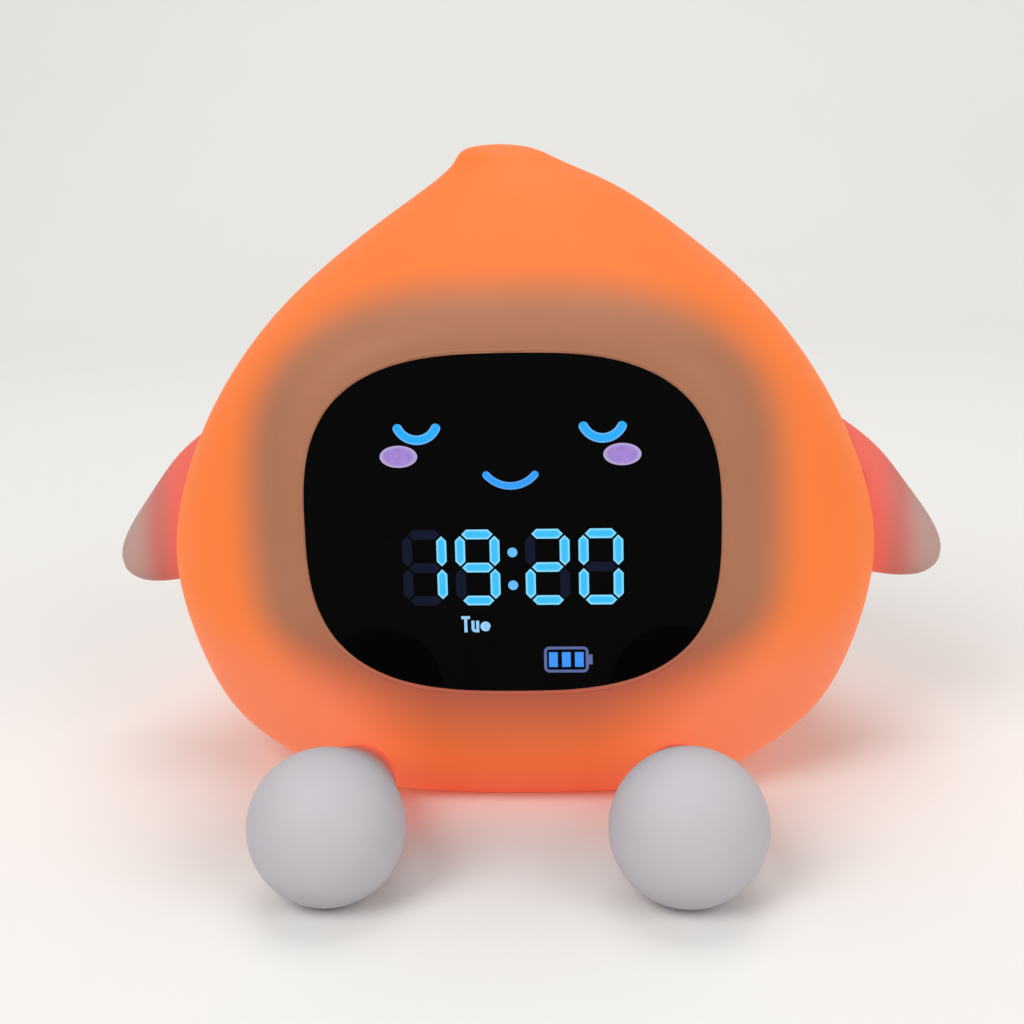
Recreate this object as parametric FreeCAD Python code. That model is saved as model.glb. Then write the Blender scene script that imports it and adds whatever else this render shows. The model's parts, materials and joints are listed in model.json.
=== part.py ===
import FreeCAD, Part
import math
import os

# Drop shaped clock lamp. Millimetres, +Z up, the face looks along -Y.
# The origin is the centre of the flat base, on the surface that the clock stands on.

Vector = FreeCAD.Vector
UP = Vector(0, 0, 1)
BACKWARD = Vector(0, 1, 0)

# Driving dimensions of the body
body_height = 102.5
tip_flat = 1.6
body_power = 2.75
skin = 2.0
skin_gap = 0.15
shell_wall = 1.85
inset_height_loss = 2.2
least_inner_half = 1.0
# Stations of the body: height, half width, front depth, rear depth, centre x, roundness power
body_stations = [
    (0.0, 36.0, 27.0, 30.0, 0.0, body_power),
    (3.0, 41.4, 31.2, 34.4, 0.0, body_power),
    (7.0, 46.7, 34.4, 37.6, 0.0, body_power),
    (13.0, 52.3, 36.3, 40.2, 0.0, body_power),
    (25.5, 57.4, 37.4, 42.0, 0.0, body_power),
    (38.0, 59.0, 37.6, 42.2, 0.0, body_power),
    (51.0, 56.0, 37.5, 41.0, 0.0, body_power),
    (64.0, 49.6, 36.9, 37.8, 0.0, body_power),
    (76.5, 40.0, 33.0, 31.4, 0.1, 2.6),
    (86.0, 29.3, 25.4, 24.0, 0.4, 2.3),
    (92.0, 21.2, 18.4, 18.2, 0.7, 2.1),
    (96.5, 14.2, 12.8, 12.8, 0.3, 2.0),
    (99.6, 9.0, 8.4, 8.4, -1.3, 2.0),
    (101.2, 6.8, 6.4, 6.4, -2.4, 2.0),
    (102.1, 4.6, 4.3, 4.3, -3.0, 2.0),
    (body_height, tip_flat, tip_flat, tip_flat, -3.3, 2.0),
]

# Display: the lens leans back a little, local Z points out of the face
lens_centre = Vector(0, -35.0, 47.15)
lens_lean = 1.0
lens_half_width = 31.75
lens_half_height = 26.45
lens_power = 2.9
lens_thickness = 2.0
inlay_depth = 1.2
well_radius = 0.75
display_lamp_height = 0.6
bezel_rise = 0.3
bezel_crest = 1.2
bezel_reach = 9.0
bezel_depth = 4.0
lip_back = -0.3
collar_wall = 1.2
collar_gap = 0.15
collar_front = -0.4
collar_back = -7.0
ledge_back = -4.0
ledge_reach = 1.6
well_back = -8.0
board_thickness = 1.6
frame_inset = 1.75
board_inset = 0.5
ear_tip = 37.0
ear_half_height = 5.0
ear_thickness = 1.95
ear_screw_x = 34.2
ear_boss_radius = 2.8
ear_boss_height = 4.0
ear_pilot_depth = 3.8
sight_clearance = 0.02
seat_clearance = 0.1

# Face and read-out on the lens
eye_spacing = 14.0
eye_low = 13.4
eye_radius = 3.2
eye_half_angle = 64.0
eye_stroke = 1.45
mouth_low = 6.2
mouth_radius = 4.8
mouth_half_angle = 50.0
mouth_stroke = 1.15
cheek_spacing = 16.9
cheek_height = 10.9
cheek_half_width = 2.85
cheek_half_height = 1.7
digit_height = 12.0
digit_width = 6.8
digit_centre = -6.55
segment_width = 1.52
segment_gap = 0.24
digit_places = {"hours_tens": -13.5, "hours_units": -5.35, "minutes_tens": 5.35, "minutes_units": 13.5}
digit_lit = {"hours_tens": "bc", "hours_units": "abcdfg", "minutes_tens": "abdeg", "minutes_units": "abcdef"}
colon_heights = (-4.2, -9.4)
colon_radius = 0.76
weekday_left = -8.15
weekday_base = -16.9
weekday_height = 2.6
weekday_stroke = 0.47
weekday_bar = 1.35
weekday_gap = 0.2
weekday_small = 0.72
weekday_bowl = 0.36
weekday_ring = 0.55
weekday_opening = 318.0
weekday_wells = (0.5, 2.2, 3.9)
battery_left = 4.5
battery_base = -23.5
battery_width = 6.9
battery_height = 4.2
battery_line = 0.45
battery_corner = 0.85
battery_nub_half = 0.8
battery_nub_reach = 0.6
battery_wells = (1.45, 3.45, 5.45)
battery_bar_width = 1.35
battery_bar_height = 2.4

# Feet and arms
foot_radius = 11.3
foot_centre = (25.6, -64.0, 10.95)
leg_root = (25.0, -36.0, 6.1)
leg_root_radius = 5.6
leg_shoulder = 0.4
leg_reach = 8.0
peg_radius = 3.0
arm_peg_start = 52.4
arm_peg_length = 8.0
leg_peg_start = -37.0
leg_peg_rise = 0.6
leg_peg_length = 8.4
arm_depth = 2.0
arm_root = (54.0, 41.0)
arm_direction = (0.845, -0.535)
# Stations of the arm: distance along it, half width, half thickness
arm_stations = [
    (-8.0, 12.6, 6.4),
    (0.0, 11.6, 6.0),
    (7.0, 9.2, 5.2),
    (12.5, 7.0, 4.4),
    (16.5, 5.0, 3.4),
    (19.0, 2.9, 2.1),
    (20.0, 1.0, 0.8),
]
arm_peg_height = 40.0

# Base
pad_thickness = 1.0
pad_outline = (30.0, 20.8, 24.0)
base_outline = (32.6, 23.4, 26.6)
base_top = 2.15
base_clearance = 0.2
base_head_height = 0.8
base_head_room = 0.9
base_shank_length = 8.0
recess_radius = 0.8
recess_depth = 0.7
base_recess_depth = 0.5
base_screw_places = [(-22.0, -15.0), (22.0, -15.0), (-21.0, 17.0), (21.0, 17.0)]
floor_top = 4.0
chassis_outline = (30.5, 21.3, 24.3)
chassis_floor = 1.2
boss_radius = 3.0
boss_top = 12.0

# Rechargeable cell
cell_radius = 9.1
cell_half_length = 32.4
cell_depth = 3.0
cell_height = 14.6
cell_button_radius = 2.8
cell_button_height = 1.0
strap_half_width = 3.0
strap_thickness = 1.0
strap_gap = 0.05
saddle_half_width = 10.6
saddle_top = 11.0
saddle_places = (-24.0, 18.0)
saddle_length = 6.0

# Night light board on its posts
mast_posts = [(-11.0, -9.5), (11.0, -9.5), (-11.0, 17.0), (11.0, 17.0)]
mast_post_radius = 2.2
mast_ring_bottom = 30.2
mast_ring_top = 32.2
mast_ring_radius = 17.0
mast_ring_bore = 7.0
light_centre_depth = 3.75
light_board_radius = 19.0
light_lamp_ring = 14.6
light_lamp_count = 8
light_lamp_side = 5.0
light_lamp_height = 1.6
lamp_dome_radius = 1.7
lamp_dome_sink = 0.6
light_screw_length = 6.0

# Rear panel, seen from outside along -Y
panel_half_width = 25.0
panel_half_height = 19.0
panel_corner = 7.0
panel_centre = 36.0
panel_face = 38.2
panel_thickness = 2.0
panel_collar = 1.6
panel_ledge = 2.2
panel_gap = 0.15
panel_wall_depth = 8.0
panel_wall_inset = 0.3
panel_seat_depth = 4.0
panel_post_radius = 2.3
panel_pilot_depth = 5.0
panel_head_room = 1.0
panel_head_height = 0.9
panel_shank_length = 5.4
pin_hole = (0.0, 20.8)
pin_hole_radius = 0.5
panel_screw_places = [(-19.6, 21.4), (19.6, 21.4), (-19.6, 50.6), (19.6, 50.6)]
board_front = 30.7
board_half_width = 22.6
board_half_height = 16.8
notch_reach = 2.9
board_post_places = [(-20.4, 43.0), (20.4, 43.0), (-20.4, 28.6), (20.4, 28.6)]
board_post_radius = 2.2
board_screw_radius = 0.95
board_screw_length = 4.6
board_screw_hole = 1.0
board_head_radius = 1.8
board_head_height = 1.2
board_recess_radius = 0.7
board_recess_depth = 0.6
main_chip_low = (3.0, 45.0)
main_chip_high = (11.0, 51.0)
main_chip_height = 1.4
amplifier_low = (-10.0, 46.0)
amplifier_high = (-5.0, 50.0)
amplifier_height = 1.2
button_places = {"mode": (-13.0, 48.3), "alarm": (0.0, 48.3), "light": (13.0, 48.3),
                 "up": (-16.4, 35.8), "down": (16.4, 35.8)}
button_radius = 3.7
button_clearance = 0.2
button_rise = 1.2
button_flange_radius = 4.3
button_flange = 1.0
button_travel = 0.8
button_rest_gap = 0.1
button_edge = 0.6
plunger_radius = 1.6
plunger_sink = 0.9
plunger_clearance = 0.15
plunger_room = 0.2
tact_half = 3.0
tact_height = 3.2
switch_place = (-11.4, 21.6)
switch_travel = 2.6
switch_can_half_length = 4.8
switch_can_half_width = 2.0
switch_can_height = 3.4
switch_slot_half_length = 2.4
switch_slot_half_width = 1.0
switch_slot_floor = 1.0
stalk_floor = 1.4
stalk_half_length = 0.8
stalk_half_width = 0.7
knob_length = 4.2
knob_width = 2.6
knob_rise = 0.9
knob_clearance = 0.25
knob_flange_length = 8.6
knob_flange_width = 4.2
knob_flange_front = 1.2
knob_flange_back = 0.2
knob_ridge_offsets = (-1.0, 0.0, 1.0)
knob_ridge_half = 0.2
knob_ridge_height = 0.3
socket_place = (12.0, 21.6)
socket_half_width = 4.47
socket_half_height = 1.63
socket_wall = 0.3
socket_floor = 1.2
socket_recess = 0.2
socket_clearance = 0.2
tongue_half_width = 3.3
tongue_half_height = 0.35
tongue_recess = 0.8
speaker_height = 32.2
speaker_radius = 9.8
speaker_hole = 10.6
gasket_radius = 9.6
gasket_thickness = 0.8
gasket_bore = 7.6
basket_depth = 4.0
basket_wall = 1.2
basket_floor = 1.0
basket_bore = 3.2
magnet_radius = 6.0
magnet_depth = 3.0
cone_thickness = 0.6
cone_small_radius = 3.0
cone_large_radius = 8.4
cone_depth = 2.0
cone_back = 2.6
cone_face = 2.2
grille_hole = 0.7
grille_rings = ((0.0, 1), (2.8, 6), (5.6, 12))

# Screws
screw_head_radius = 2.1
screw_head_height = 1.3
screw_shank_radius = 1.15
shell_screw_places = [(-38.0, 30.0), (38.0, 30.0), (-31.0, 71.0), (31.0, 71.0)]
shell_screw_seat = 10.0
shell_boss_radius = 3.4
shell_screw_length = 18.0
shell_pilot_start = -9.0
shell_pilot_length = 30.0
sleeve_clearance = 0.15
parting_half_gap = 0.02

# Flat ribbon between the two boards, and the cell's leads
ribbon_left = 13.4
ribbon_width = 4.4
ribbon_height = 26.8
ribbon_thickness = 0.3
ribbon_front = -26.2
ribbon_socket_side = 0.6
ribbon_socket_rim = 1.0
ribbon_socket_depth = 2.2
lead_radius = 0.6
lead_places = (-20.0, -17.6)
lead_height = 19.0

nodes = {}


def superellipse(half_x, front, back, power, centre_x=0.0, count=40):
    """Points of a rounded outline, counter-clockwise, the front being -Y."""
    points = []
    for step in range(count):
        angle = 2 * math.pi * step / count
        cosine = math.cos(angle)
        sine = math.sin(angle)
        depth = back if sine > 0 else front
        x = half_x * math.copysign(abs(cosine) ** (2 / power), cosine)
        y = depth * math.copysign(abs(sine) ** (2 / power), sine)
        points.append((centre_x + x, y))
    return points


def closed_wire(points, height):
    curve = Part.BSplineCurve()
    curve.interpolate(Points=[Vector(x, y, height) for x, y in points], PeriodicFlag=True)
    return Part.Wire([curve.toShape()])


def drop(inset):
    """The body's drop, drawn in by inset all round, without the stations that the inset uses up."""
    wires = []
    scale = (body_height - inset_height_loss * inset) / body_height
    for height, half_width, front, back, centre_x, power in body_stations:
        if inset and front < inset + least_inner_half:
            continue
        outline = superellipse(half_width - inset, front - inset, back - inset, power, centre_x)
        wires.append(closed_wire(outline, inset + height * scale))
    return Part.makeLoft(wires, True, False)


def plate(outline, power, bottom, top):
    wire = closed_wire(superellipse(outline[0], outline[1], outline[2], power), bottom)
    return Part.Face(wire).extrude(UP * (top - bottom))


def box(low, high):
    size = [high[i] - low[i] for i in range(3)]
    return Part.makeBox(size[0], size[1], size[2], Vector(*low))


def rod(radius, start, direction, length):
    return Part.makeCylinder(radius, length, Vector(*start), direction)


def fuse(shapes):
    result = shapes[0]
    if len(shapes) > 1:
        result = result.fuse(shapes[1:])
    return result.removeSplitter()


def mirror_x(shape):
    return shape.mirror(Vector(0, 0, 0), Vector(1, 0, 0))


def keep(name, shape):
    nodes[name] = shape


def on_face(shape):
    """Place a shape built in the lens's own axes."""
    turn = FreeCAD.Rotation(Vector(1, 0, 0), 90 - lens_lean)
    placed = shape.copy()
    placed.Placement = FreeCAD.Placement(lens_centre, turn)
    return placed


def lens_prism(grow, bottom, top):
    outline = (lens_half_width + grow, lens_half_height + grow, lens_half_height + grow)
    return plate(outline, lens_power, bottom, top)


def polygon_prism(points, bottom, top):
    corners = [Vector(x, y, bottom) for x, y in points]
    return Part.Face(Part.makePolygon(corners + corners[:1])).extrude(UP * (top - bottom))


def arc_stroke(centre, radius, start, end, stroke, bottom, top):
    """A curved stroke with round ends, angles in degrees."""
    height = top - bottom
    place = Vector(centre[0], centre[1], bottom)
    outer = Part.makeCylinder(radius + stroke / 2, height, place, UP, end - start)
    inner = Part.makeCylinder(radius - stroke / 2, height, place, UP, end - start)
    ring = outer.cut(inner)
    ring.rotate(place, UP, start)
    caps = []
    for angle in (start, end):
        x = centre[0] + radius * math.cos(math.radians(angle))
        y = centre[1] + radius * math.sin(math.radians(angle))
        caps.append(rod(stroke / 2, (x, y, bottom), UP, height))
    return fuse([ring] + caps)


def segment(kind, centre_x, bottom, top):
    """One chamfered bar of a seven bar digit."""
    half_w = (digit_width - segment_width) / 2
    half_h = (digit_height - segment_width) / 2
    half = segment_width / 2
    middle = digit_centre
    ends = {"a": ((-half_w, half_h), (half_w, half_h)),
            "g": ((-half_w, 0), (half_w, 0)),
            "d": ((-half_w, -half_h), (half_w, -half_h)),
            "f": ((-half_w, 0), (-half_w, half_h)),
            "b": ((half_w, 0), (half_w, half_h)),
            "e": ((-half_w, -half_h), (-half_w, 0)),
            "c": ((half_w, -half_h), (half_w, 0))}
    (x1, y1), (x2, y2) = ends[kind]
    length = math.hypot(x2 - x1, y2 - y1)
    along = ((x2 - x1) / length, (y2 - y1) / length)
    across = (-along[1], along[0])
    profile = [(segment_gap, 0), (half + segment_gap, half), (length - half - segment_gap, half),
               (length - segment_gap, 0), (length - half - segment_gap, -half), (half + segment_gap, -half)]
    points = []
    for run, side in profile:
        x = centre_x + x1 + along[0] * run + across[0] * side
        y = middle + y1 + along[1] * run + across[1] * side
        points.append((x, y))
    return polygon_prism(points, bottom, top)


def weekday_letters(bottom, top):
    """The three letters of a weekday, each one piece."""
    line = weekday_stroke
    base = weekday_base
    high = weekday_height
    left = weekday_left
    middle = left + weekday_bar / 2
    bar = box((left, base + high - line, bottom), (left + weekday_bar, base + high, top))
    stem = box((middle - line / 2, base, bottom), (middle + line / 2, base + high, top))
    letter_t = fuse([bar, stem])
    small = weekday_small * high
    left += weekday_bar + weekday_gap
    right = left + 2 * weekday_bowl + line
    floor = base + line / 2 + weekday_bowl
    cup = arc_stroke(((left + right) / 2, floor), weekday_bowl, 180, 360, line, bottom, top)
    side = box((left, floor, bottom), (left + line, base + small, top))
    other = box((right - line, base, bottom), (right, base + small, top))
    letter_u = fuse([cup, side, other])
    centre = (right + weekday_gap + line / 2 + weekday_ring, base + small / 2)
    ring = arc_stroke(centre, weekday_ring, 0, weekday_opening, line, bottom, top)
    cross = box((centre[0] - weekday_ring, centre[1] - line / 2, bottom),
                (centre[0] + weekday_ring, centre[1] + line / 2, top))
    letter_e = fuse([ring, cross])
    return [letter_t, letter_u, letter_e]


def rounded_block(low, high, corner):
    """Block whose upright edges are rounded."""
    block = box(low, high)
    upright = [edge for edge in block.Edges if abs(edge.tangentAt(edge.FirstParameter).z) > 0.9]
    return block.makeFillet(corner, upright)


def battery_icon(bottom, top):
    """Outline with a nub at the right, and three bars."""
    line = battery_line
    right = battery_left + battery_width
    high = battery_base + battery_height
    outer = rounded_block((battery_left, battery_base, bottom), (right, high, top), battery_corner)
    inner = rounded_block((battery_left + line, battery_base + line, bottom), (right - line, high - line, top),
                          battery_corner - line)
    middle = battery_base + battery_height / 2
    nub = box((right - line / 2, middle - battery_nub_half, bottom),
              (right + battery_nub_reach, middle + battery_nub_half, top))
    outline = fuse([outer.cut(inner), nub])
    bars = []
    pitch = (battery_width - 2 * battery_line) / 3
    for index in range(3):
        x = battery_left + battery_line + pitch * (index + 0.5)
        bars.append(box((x - battery_bar_width / 2, middle - battery_bar_height / 2, bottom),
                        (x + battery_bar_width / 2, middle + battery_bar_height / 2, top)))
    return outline, bars


def cheek(side, bottom, top):
    centre = Vector(side * cheek_spacing, cheek_height, bottom)
    ellipse = Part.Ellipse(centre, cheek_half_width, cheek_half_height)
    return Part.Face(Part.Wire([ellipse.toShape()])).extrude(UP * (top - bottom))


def guides(bottom, top):
    """Every light guide of the display in the lens's axes, as lists of solids by node name."""
    found = {}
    unlit = []
    for place, centre_x in digit_places.items():
        found["digit_" + place] = [segment(kind, centre_x, bottom, top) for kind in digit_lit[place]]
        unlit += [segment(kind, centre_x, bottom, top) for kind in "abcdefg" if kind not in digit_lit[place]]
    found["unlit_segments"] = unlit
    found["colon_dots"] = [rod(colon_radius, (0, y, bottom), UP, top - bottom) for y in colon_heights]
    eyes = []
    for side in (-1, 1):
        centre = (side * eye_spacing, eye_low + eye_radius)
        eyes.append(arc_stroke(centre, eye_radius, 270 - eye_half_angle, 270 + eye_half_angle,
                               eye_stroke, bottom, top))
    found["eye_guides"] = eyes
    found["mouth_guide"] = [arc_stroke((0, mouth_low + mouth_radius), mouth_radius, 270 - mouth_half_angle,
                                       270 + mouth_half_angle, mouth_stroke, bottom, top)]
    found["cheek_guides"] = [cheek(side, bottom, top) for side in (-1, 1)]
    found["weekday_guides"] = weekday_letters(bottom, top)
    outline, bars = battery_icon(bottom, top)
    found["battery_outline_guide"] = [outline]
    found["battery_bar_guides"] = bars
    return found


def make_display():
    """Lens, light guides, light well frame, board and lamps."""
    cutters = guides(-inlay_depth, 0.0)
    flat = [solid for solids in cutters.values() for solid in solids]
    lens = lens_prism(0, -lens_thickness, 0).cut(flat)
    keep("display_lens", on_face(lens))
    for name, solids in cutters.items():
        keep(name, on_face(Part.makeCompound(solids)))
    wells = [rod(well_radius, (x, y, well_back), UP, -well_back) for x, y in lamp_places()]
    block = lens_prism(-frame_inset, well_back, -lens_thickness)
    flange = lens_prism(-0.1, ledge_back - 2.0, ledge_back - 0.05)
    ear_back = collar_back - 0.05 - ear_thickness
    ears = box((-ear_tip, -ear_half_height, ear_back), (ear_tip, ear_half_height, collar_back - 0.05))
    frame = fuse([block, flange, ears.cut(lens_prism(-frame_inset - 0.3, ear_back - 1, well_back))])
    frame = frame.cut(wells)
    ear_holes = [rod(screw_shank_radius, (side * ear_screw_x, 0, ear_back - 1), UP, 5) for side in (-1, 1)]
    board_screws = [(x, y) for x in (-23.0, 23.0) for y in (-16.6, 16.6)]
    pilot_holes = [rod(screw_shank_radius, (x, y, well_back), UP, 3.5) for x, y in board_screws]
    keep("light_well_frame", on_face(frame.cut(ear_holes + pilot_holes)))
    board_back = well_back - board_thickness
    board = lens_prism(-frame_inset - board_inset, board_back, well_back)
    board_holes = [rod(screw_shank_radius, (x, y, board_back), UP, board_thickness) for x, y in board_screws]
    keep("display_board", on_face(board.cut(board_holes)))
    keep("display_lamps", on_face(Part.makeCompound(display_lamps())))
    screws = [screw((x, y, board_back), UP, 4.6) for x, y in board_screws]
    keep("display_board_screws", on_face(Part.makeCompound(screws)))
    screws = [screw((side * ear_screw_x, 0, ear_back), UP, 4.6) for side in (-1, 1)]
    keep("display_frame_screws", on_face(Part.makeCompound(screws)))
    chip = box((-4, -3.5, board_back - 1.2), (4, 3.5, board_back))
    keep("display_driver_chip", on_face(chip))


def lamp_places():
    """One lamp behind each segment, dot, eye and cheek, and a row behind the weekday and the battery."""
    half_w = (digit_width - segment_width) / 2
    half_h = (digit_height - segment_width) / 2
    places = []
    for centre_x in digit_places.values():
        for x, y in ((0, half_h), (0, 0), (0, -half_h)):
            places.append((centre_x + x, digit_centre + y))
        for x in (-half_w, half_w):
            for y in (-half_h / 2, half_h / 2):
                places.append((centre_x + x, digit_centre + y))
    places += [(0, y) for y in colon_heights]
    places += [(side * eye_spacing, eye_low) for side in (-1, 1)]
    places += [(side * cheek_spacing, cheek_height) for side in (-1, 1)]
    places.append((0, mouth_low))
    places += [(weekday_left + offset, weekday_base + weekday_height / 2) for offset in weekday_wells]
    places += [(battery_left + offset, battery_base + battery_height / 2) for offset in battery_wells]
    return places


def display_lamps():
    half = 0.35
    return [box((x - half, y - half, well_back), (x + half, y + half, well_back + display_lamp_height))
            for x, y in lamp_places()]


def screw(seat, direction, length):
    """Pan head below the seat, shank along the direction."""
    start = Vector(*seat)
    end = start - direction * screw_head_height
    head = Part.makeCylinder(screw_head_radius, screw_head_height, end, direction)
    recess = Part.makeCylinder(recess_radius, recess_depth, end, direction)
    shank = Part.makeCylinder(screw_shank_radius, length, start, direction)
    return fuse([head.cut(recess), shank])


def panel_outline(grow):
    """Rounded rectangle of the rear panel as a face in its own plane, X and Z."""
    half_w = panel_half_width + grow
    half_h = panel_half_height + grow
    corner = panel_corner + grow
    edges = []
    for index, (sx, sz) in enumerate(((1, 1), (-1, 1), (-1, -1), (1, -1))):
        cx = sx * (half_w - corner)
        cz = panel_centre + sz * (half_h - corner)
        start = math.radians(90 * index)
        points = [Vector(cx + corner * math.cos(start + turn), 0, cz + corner * math.sin(start + turn))
                  for turn in (0, math.pi / 4, math.pi / 2)]
        edges.append(Part.Arc(*points).toShape())
    joined = []
    for index, edge in enumerate(edges):
        following = edges[(index + 1) % 4]
        joined.append(edge)
        joined.append(Part.LineSegment(edge.Vertexes[-1].Point, following.Vertexes[0].Point).toShape())
    return Part.Face(Part.Wire(joined))


def panel_prism(grow, start, end):
    face = panel_outline(grow)
    face.translate(Vector(0, start, 0))
    return face.extrude(BACKWARD * (end - start))


def leg_solid():
    """Round foot on a tapered leg that runs back into the body."""
    foot = Part.makeSphere(foot_radius, Vector(*foot_centre))
    centre = Vector(*foot_centre)
    root = Vector(*leg_root)
    axis = root - centre
    length = axis.Length
    axis.normalize()
    start_radius = foot_radius - leg_shoulder
    slope = (start_radius - leg_root_radius) / length
    leg = Part.makeCone(start_radius, leg_root_radius - slope * leg_reach, length + leg_reach, centre, axis)
    floor_cut = box((0, -100, -20), (60, 0, 0))
    return fuse([foot, leg]).cut(floor_cut)


def arm_solid():
    """Flat flipper that droops outward, of elliptical sections."""
    along = Vector(arm_direction[0], 0, arm_direction[1])
    across = Vector(-arm_direction[1], 0, arm_direction[0])
    wires = []
    for distance, half_width, half_thickness in arm_stations:
        centre = Vector(arm_root[0], arm_depth, arm_root[1]) + along * distance
        start = centre + across * half_width
        side = centre + BACKWARD * half_thickness
        wires.append(Part.Wire([Part.Ellipse(start, side, centre).toShape()]))
    return Part.makeLoft(wires, True, False)


def bezel_solid():
    """Low swell round the lens that brings the cover flush with it, in the lens's axes."""
    wires = []
    for grow, height in ((bezel_reach, -bezel_depth), (bezel_crest, bezel_rise)):
        half_height = lens_half_height + grow
        outline = superellipse(lens_half_width + grow, half_height, half_height, lens_power)
        wires.append(closed_wire(outline, height))
    return Part.makeLoft(wires, True, True)


def make_soft_parts(outer):
    """Silicone cover, arms and legs."""
    inner = drop(skin)
    shell = outer.fuse(on_face(bezel_solid())).cut(inner)
    sight = on_face(lens_prism(sight_clearance, lip_back, 20.0))
    collar_room = on_face(lens_prism(collar_wall + collar_gap, -14.0, lip_back))
    opening = panel_prism(panel_collar + panel_gap * 2, 20, 60)
    base_room = plate(tuple(value + base_clearance for value in base_outline), body_power, -1, skin + 1)
    shell = shell.cut([sight, collar_room, opening, base_room])
    arm = arm_solid().cut(outer)
    arm_peg = rod(peg_radius, (arm_peg_start, arm_depth, arm_peg_height), Vector(1, 0, 0), arm_peg_length)
    leg = leg_solid().cut(outer)
    leg_peg_place = (leg_root[0], leg_peg_start, leg_root[2] + leg_peg_rise)
    leg_peg = rod(peg_radius, leg_peg_place, BACKWARD, leg_peg_length)
    keep("silicone_cover", shell.cut([arm_peg, mirror_x(arm_peg), leg_peg, mirror_x(leg_peg)]))
    right_arm = fuse([arm, arm_peg])
    right_leg = fuse([leg, leg_peg])
    keep("arm_right", right_arm)
    keep("arm_left", mirror_x(right_arm))
    keep("leg_right", right_leg)
    keep("leg_left", mirror_x(right_leg))
    return [arm_peg, mirror_x(arm_peg), leg_peg, mirror_x(leg_peg)]


def make_shells(pegs):
    """Milky inner shells, front and rear, that spread the light."""
    outer = drop(skin + skin_gap)
    inner = drop(skin + skin_gap + shell_wall)
    wall = outer.cut(inner)
    collar = on_face(lens_prism(collar_wall, collar_back, collar_front).cut(
        lens_prism(seat_clearance, collar_back - 1, 1)))
    ledge = on_face(lens_prism(collar_wall, ledge_back, -lens_thickness).cut(
        lens_prism(-ledge_reach, ledge_back - 1, 0)))
    sight = on_face(lens_prism(seat_clearance, -lens_thickness, 30))
    sight_back = on_face(lens_prism(-ledge_reach, -30, 0))
    flange_room = on_face(lens_prism(seat_clearance, -30, ledge_back))
    ear_bosses = []
    ear_pilots = []
    for side in (-1, 1):
        place = (side * ear_screw_x, 0, collar_back)
        ear_bosses.append(on_face(rod(ear_boss_radius, place, UP, ear_boss_height)))
        place = (side * ear_screw_x, 0, collar_back - 1)
        ear_pilots.append(on_face(rod(screw_shank_radius, place, UP, ear_pilot_depth)))
    front_bosses = []
    rear_bosses = []
    pilots = []
    sleeves = []
    for x, z in shell_screw_places:
        front_bosses.append(rod(shell_boss_radius, (x, -40, z), BACKWARD, 40))
        rear_bosses.append(rod(shell_boss_radius, (x, 0, z), BACKWARD, 40))
        pilots.append(rod(screw_shank_radius, (x, shell_pilot_start, z), BACKWARD, shell_pilot_length))
        sleeves.append(rod(screw_head_radius + sleeve_clearance, (x, shell_screw_seat, z), BACKWARD, 40))
    front_side = box((-90, -90, -5), (90, -parting_half_gap, 130))
    rear_side = box((-90, parting_half_gap, -5), (90, 90, 130))
    front = wall.common(front_side)
    inside_front = outer.common(front_side)
    front = front.fuse([boss.common(inside_front) for boss in front_bosses])
    front = front.fuse([collar, ledge] + [boss.common(inside_front) for boss in ear_bosses])
    front = front.cut([sight, sight_back.common(box((-60, -60, 0), (60, -20, 90))), flange_room.common(
        box((-60, -60, 0), (60, -20, 90)))])
    front = front.cut(pilots + ear_pilots + pegs + base_screw_holes())
    keep("front_shell", front.removeSplitter())
    wall_start = panel_face - panel_wall_depth
    back = panel_face - panel_thickness
    panel_walls = panel_prism(panel_collar, wall_start, panel_face - panel_wall_inset).cut(
        panel_prism(panel_gap, wall_start - 1, panel_face + 1))
    panel_seat = panel_prism(panel_collar, panel_face - panel_seat_depth, back).cut(
        panel_prism(-panel_ledge, wall_start - 1, panel_face + 1))
    posts = []
    for x, z in panel_screw_places:
        posts.append(rod(panel_post_radius, (x, wall_start, z), BACKWARD, back - wall_start))
    rear = wall.common(rear_side)
    inside_rear = outer.common(rear_side)
    rear = rear.fuse([boss.common(inside_rear) for boss in rear_bosses])
    rear = rear.cut(panel_prism(panel_gap, 20, 60))
    rear = rear.fuse([panel_walls, panel_seat] + posts)
    panel_pilots = [rod(screw_shank_radius, (x, back - panel_pilot_depth, z), BACKWARD, panel_pilot_depth + 1)
                    for x, z in panel_screw_places]
    rear = rear.cut(pilots + sleeves + panel_pilots + pegs + base_screw_holes())
    keep("rear_shell", rear.removeSplitter())
    screws = [screw((x, shell_screw_seat, z), BACKWARD * -1, shell_screw_length) for x, z in shell_screw_places]
    keep("shell_screws", Part.makeCompound(screws))


def base_screw_holes():
    return [rod(screw_shank_radius, (x, y, -1), UP, 12) for x, y in base_screw_places]


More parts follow.
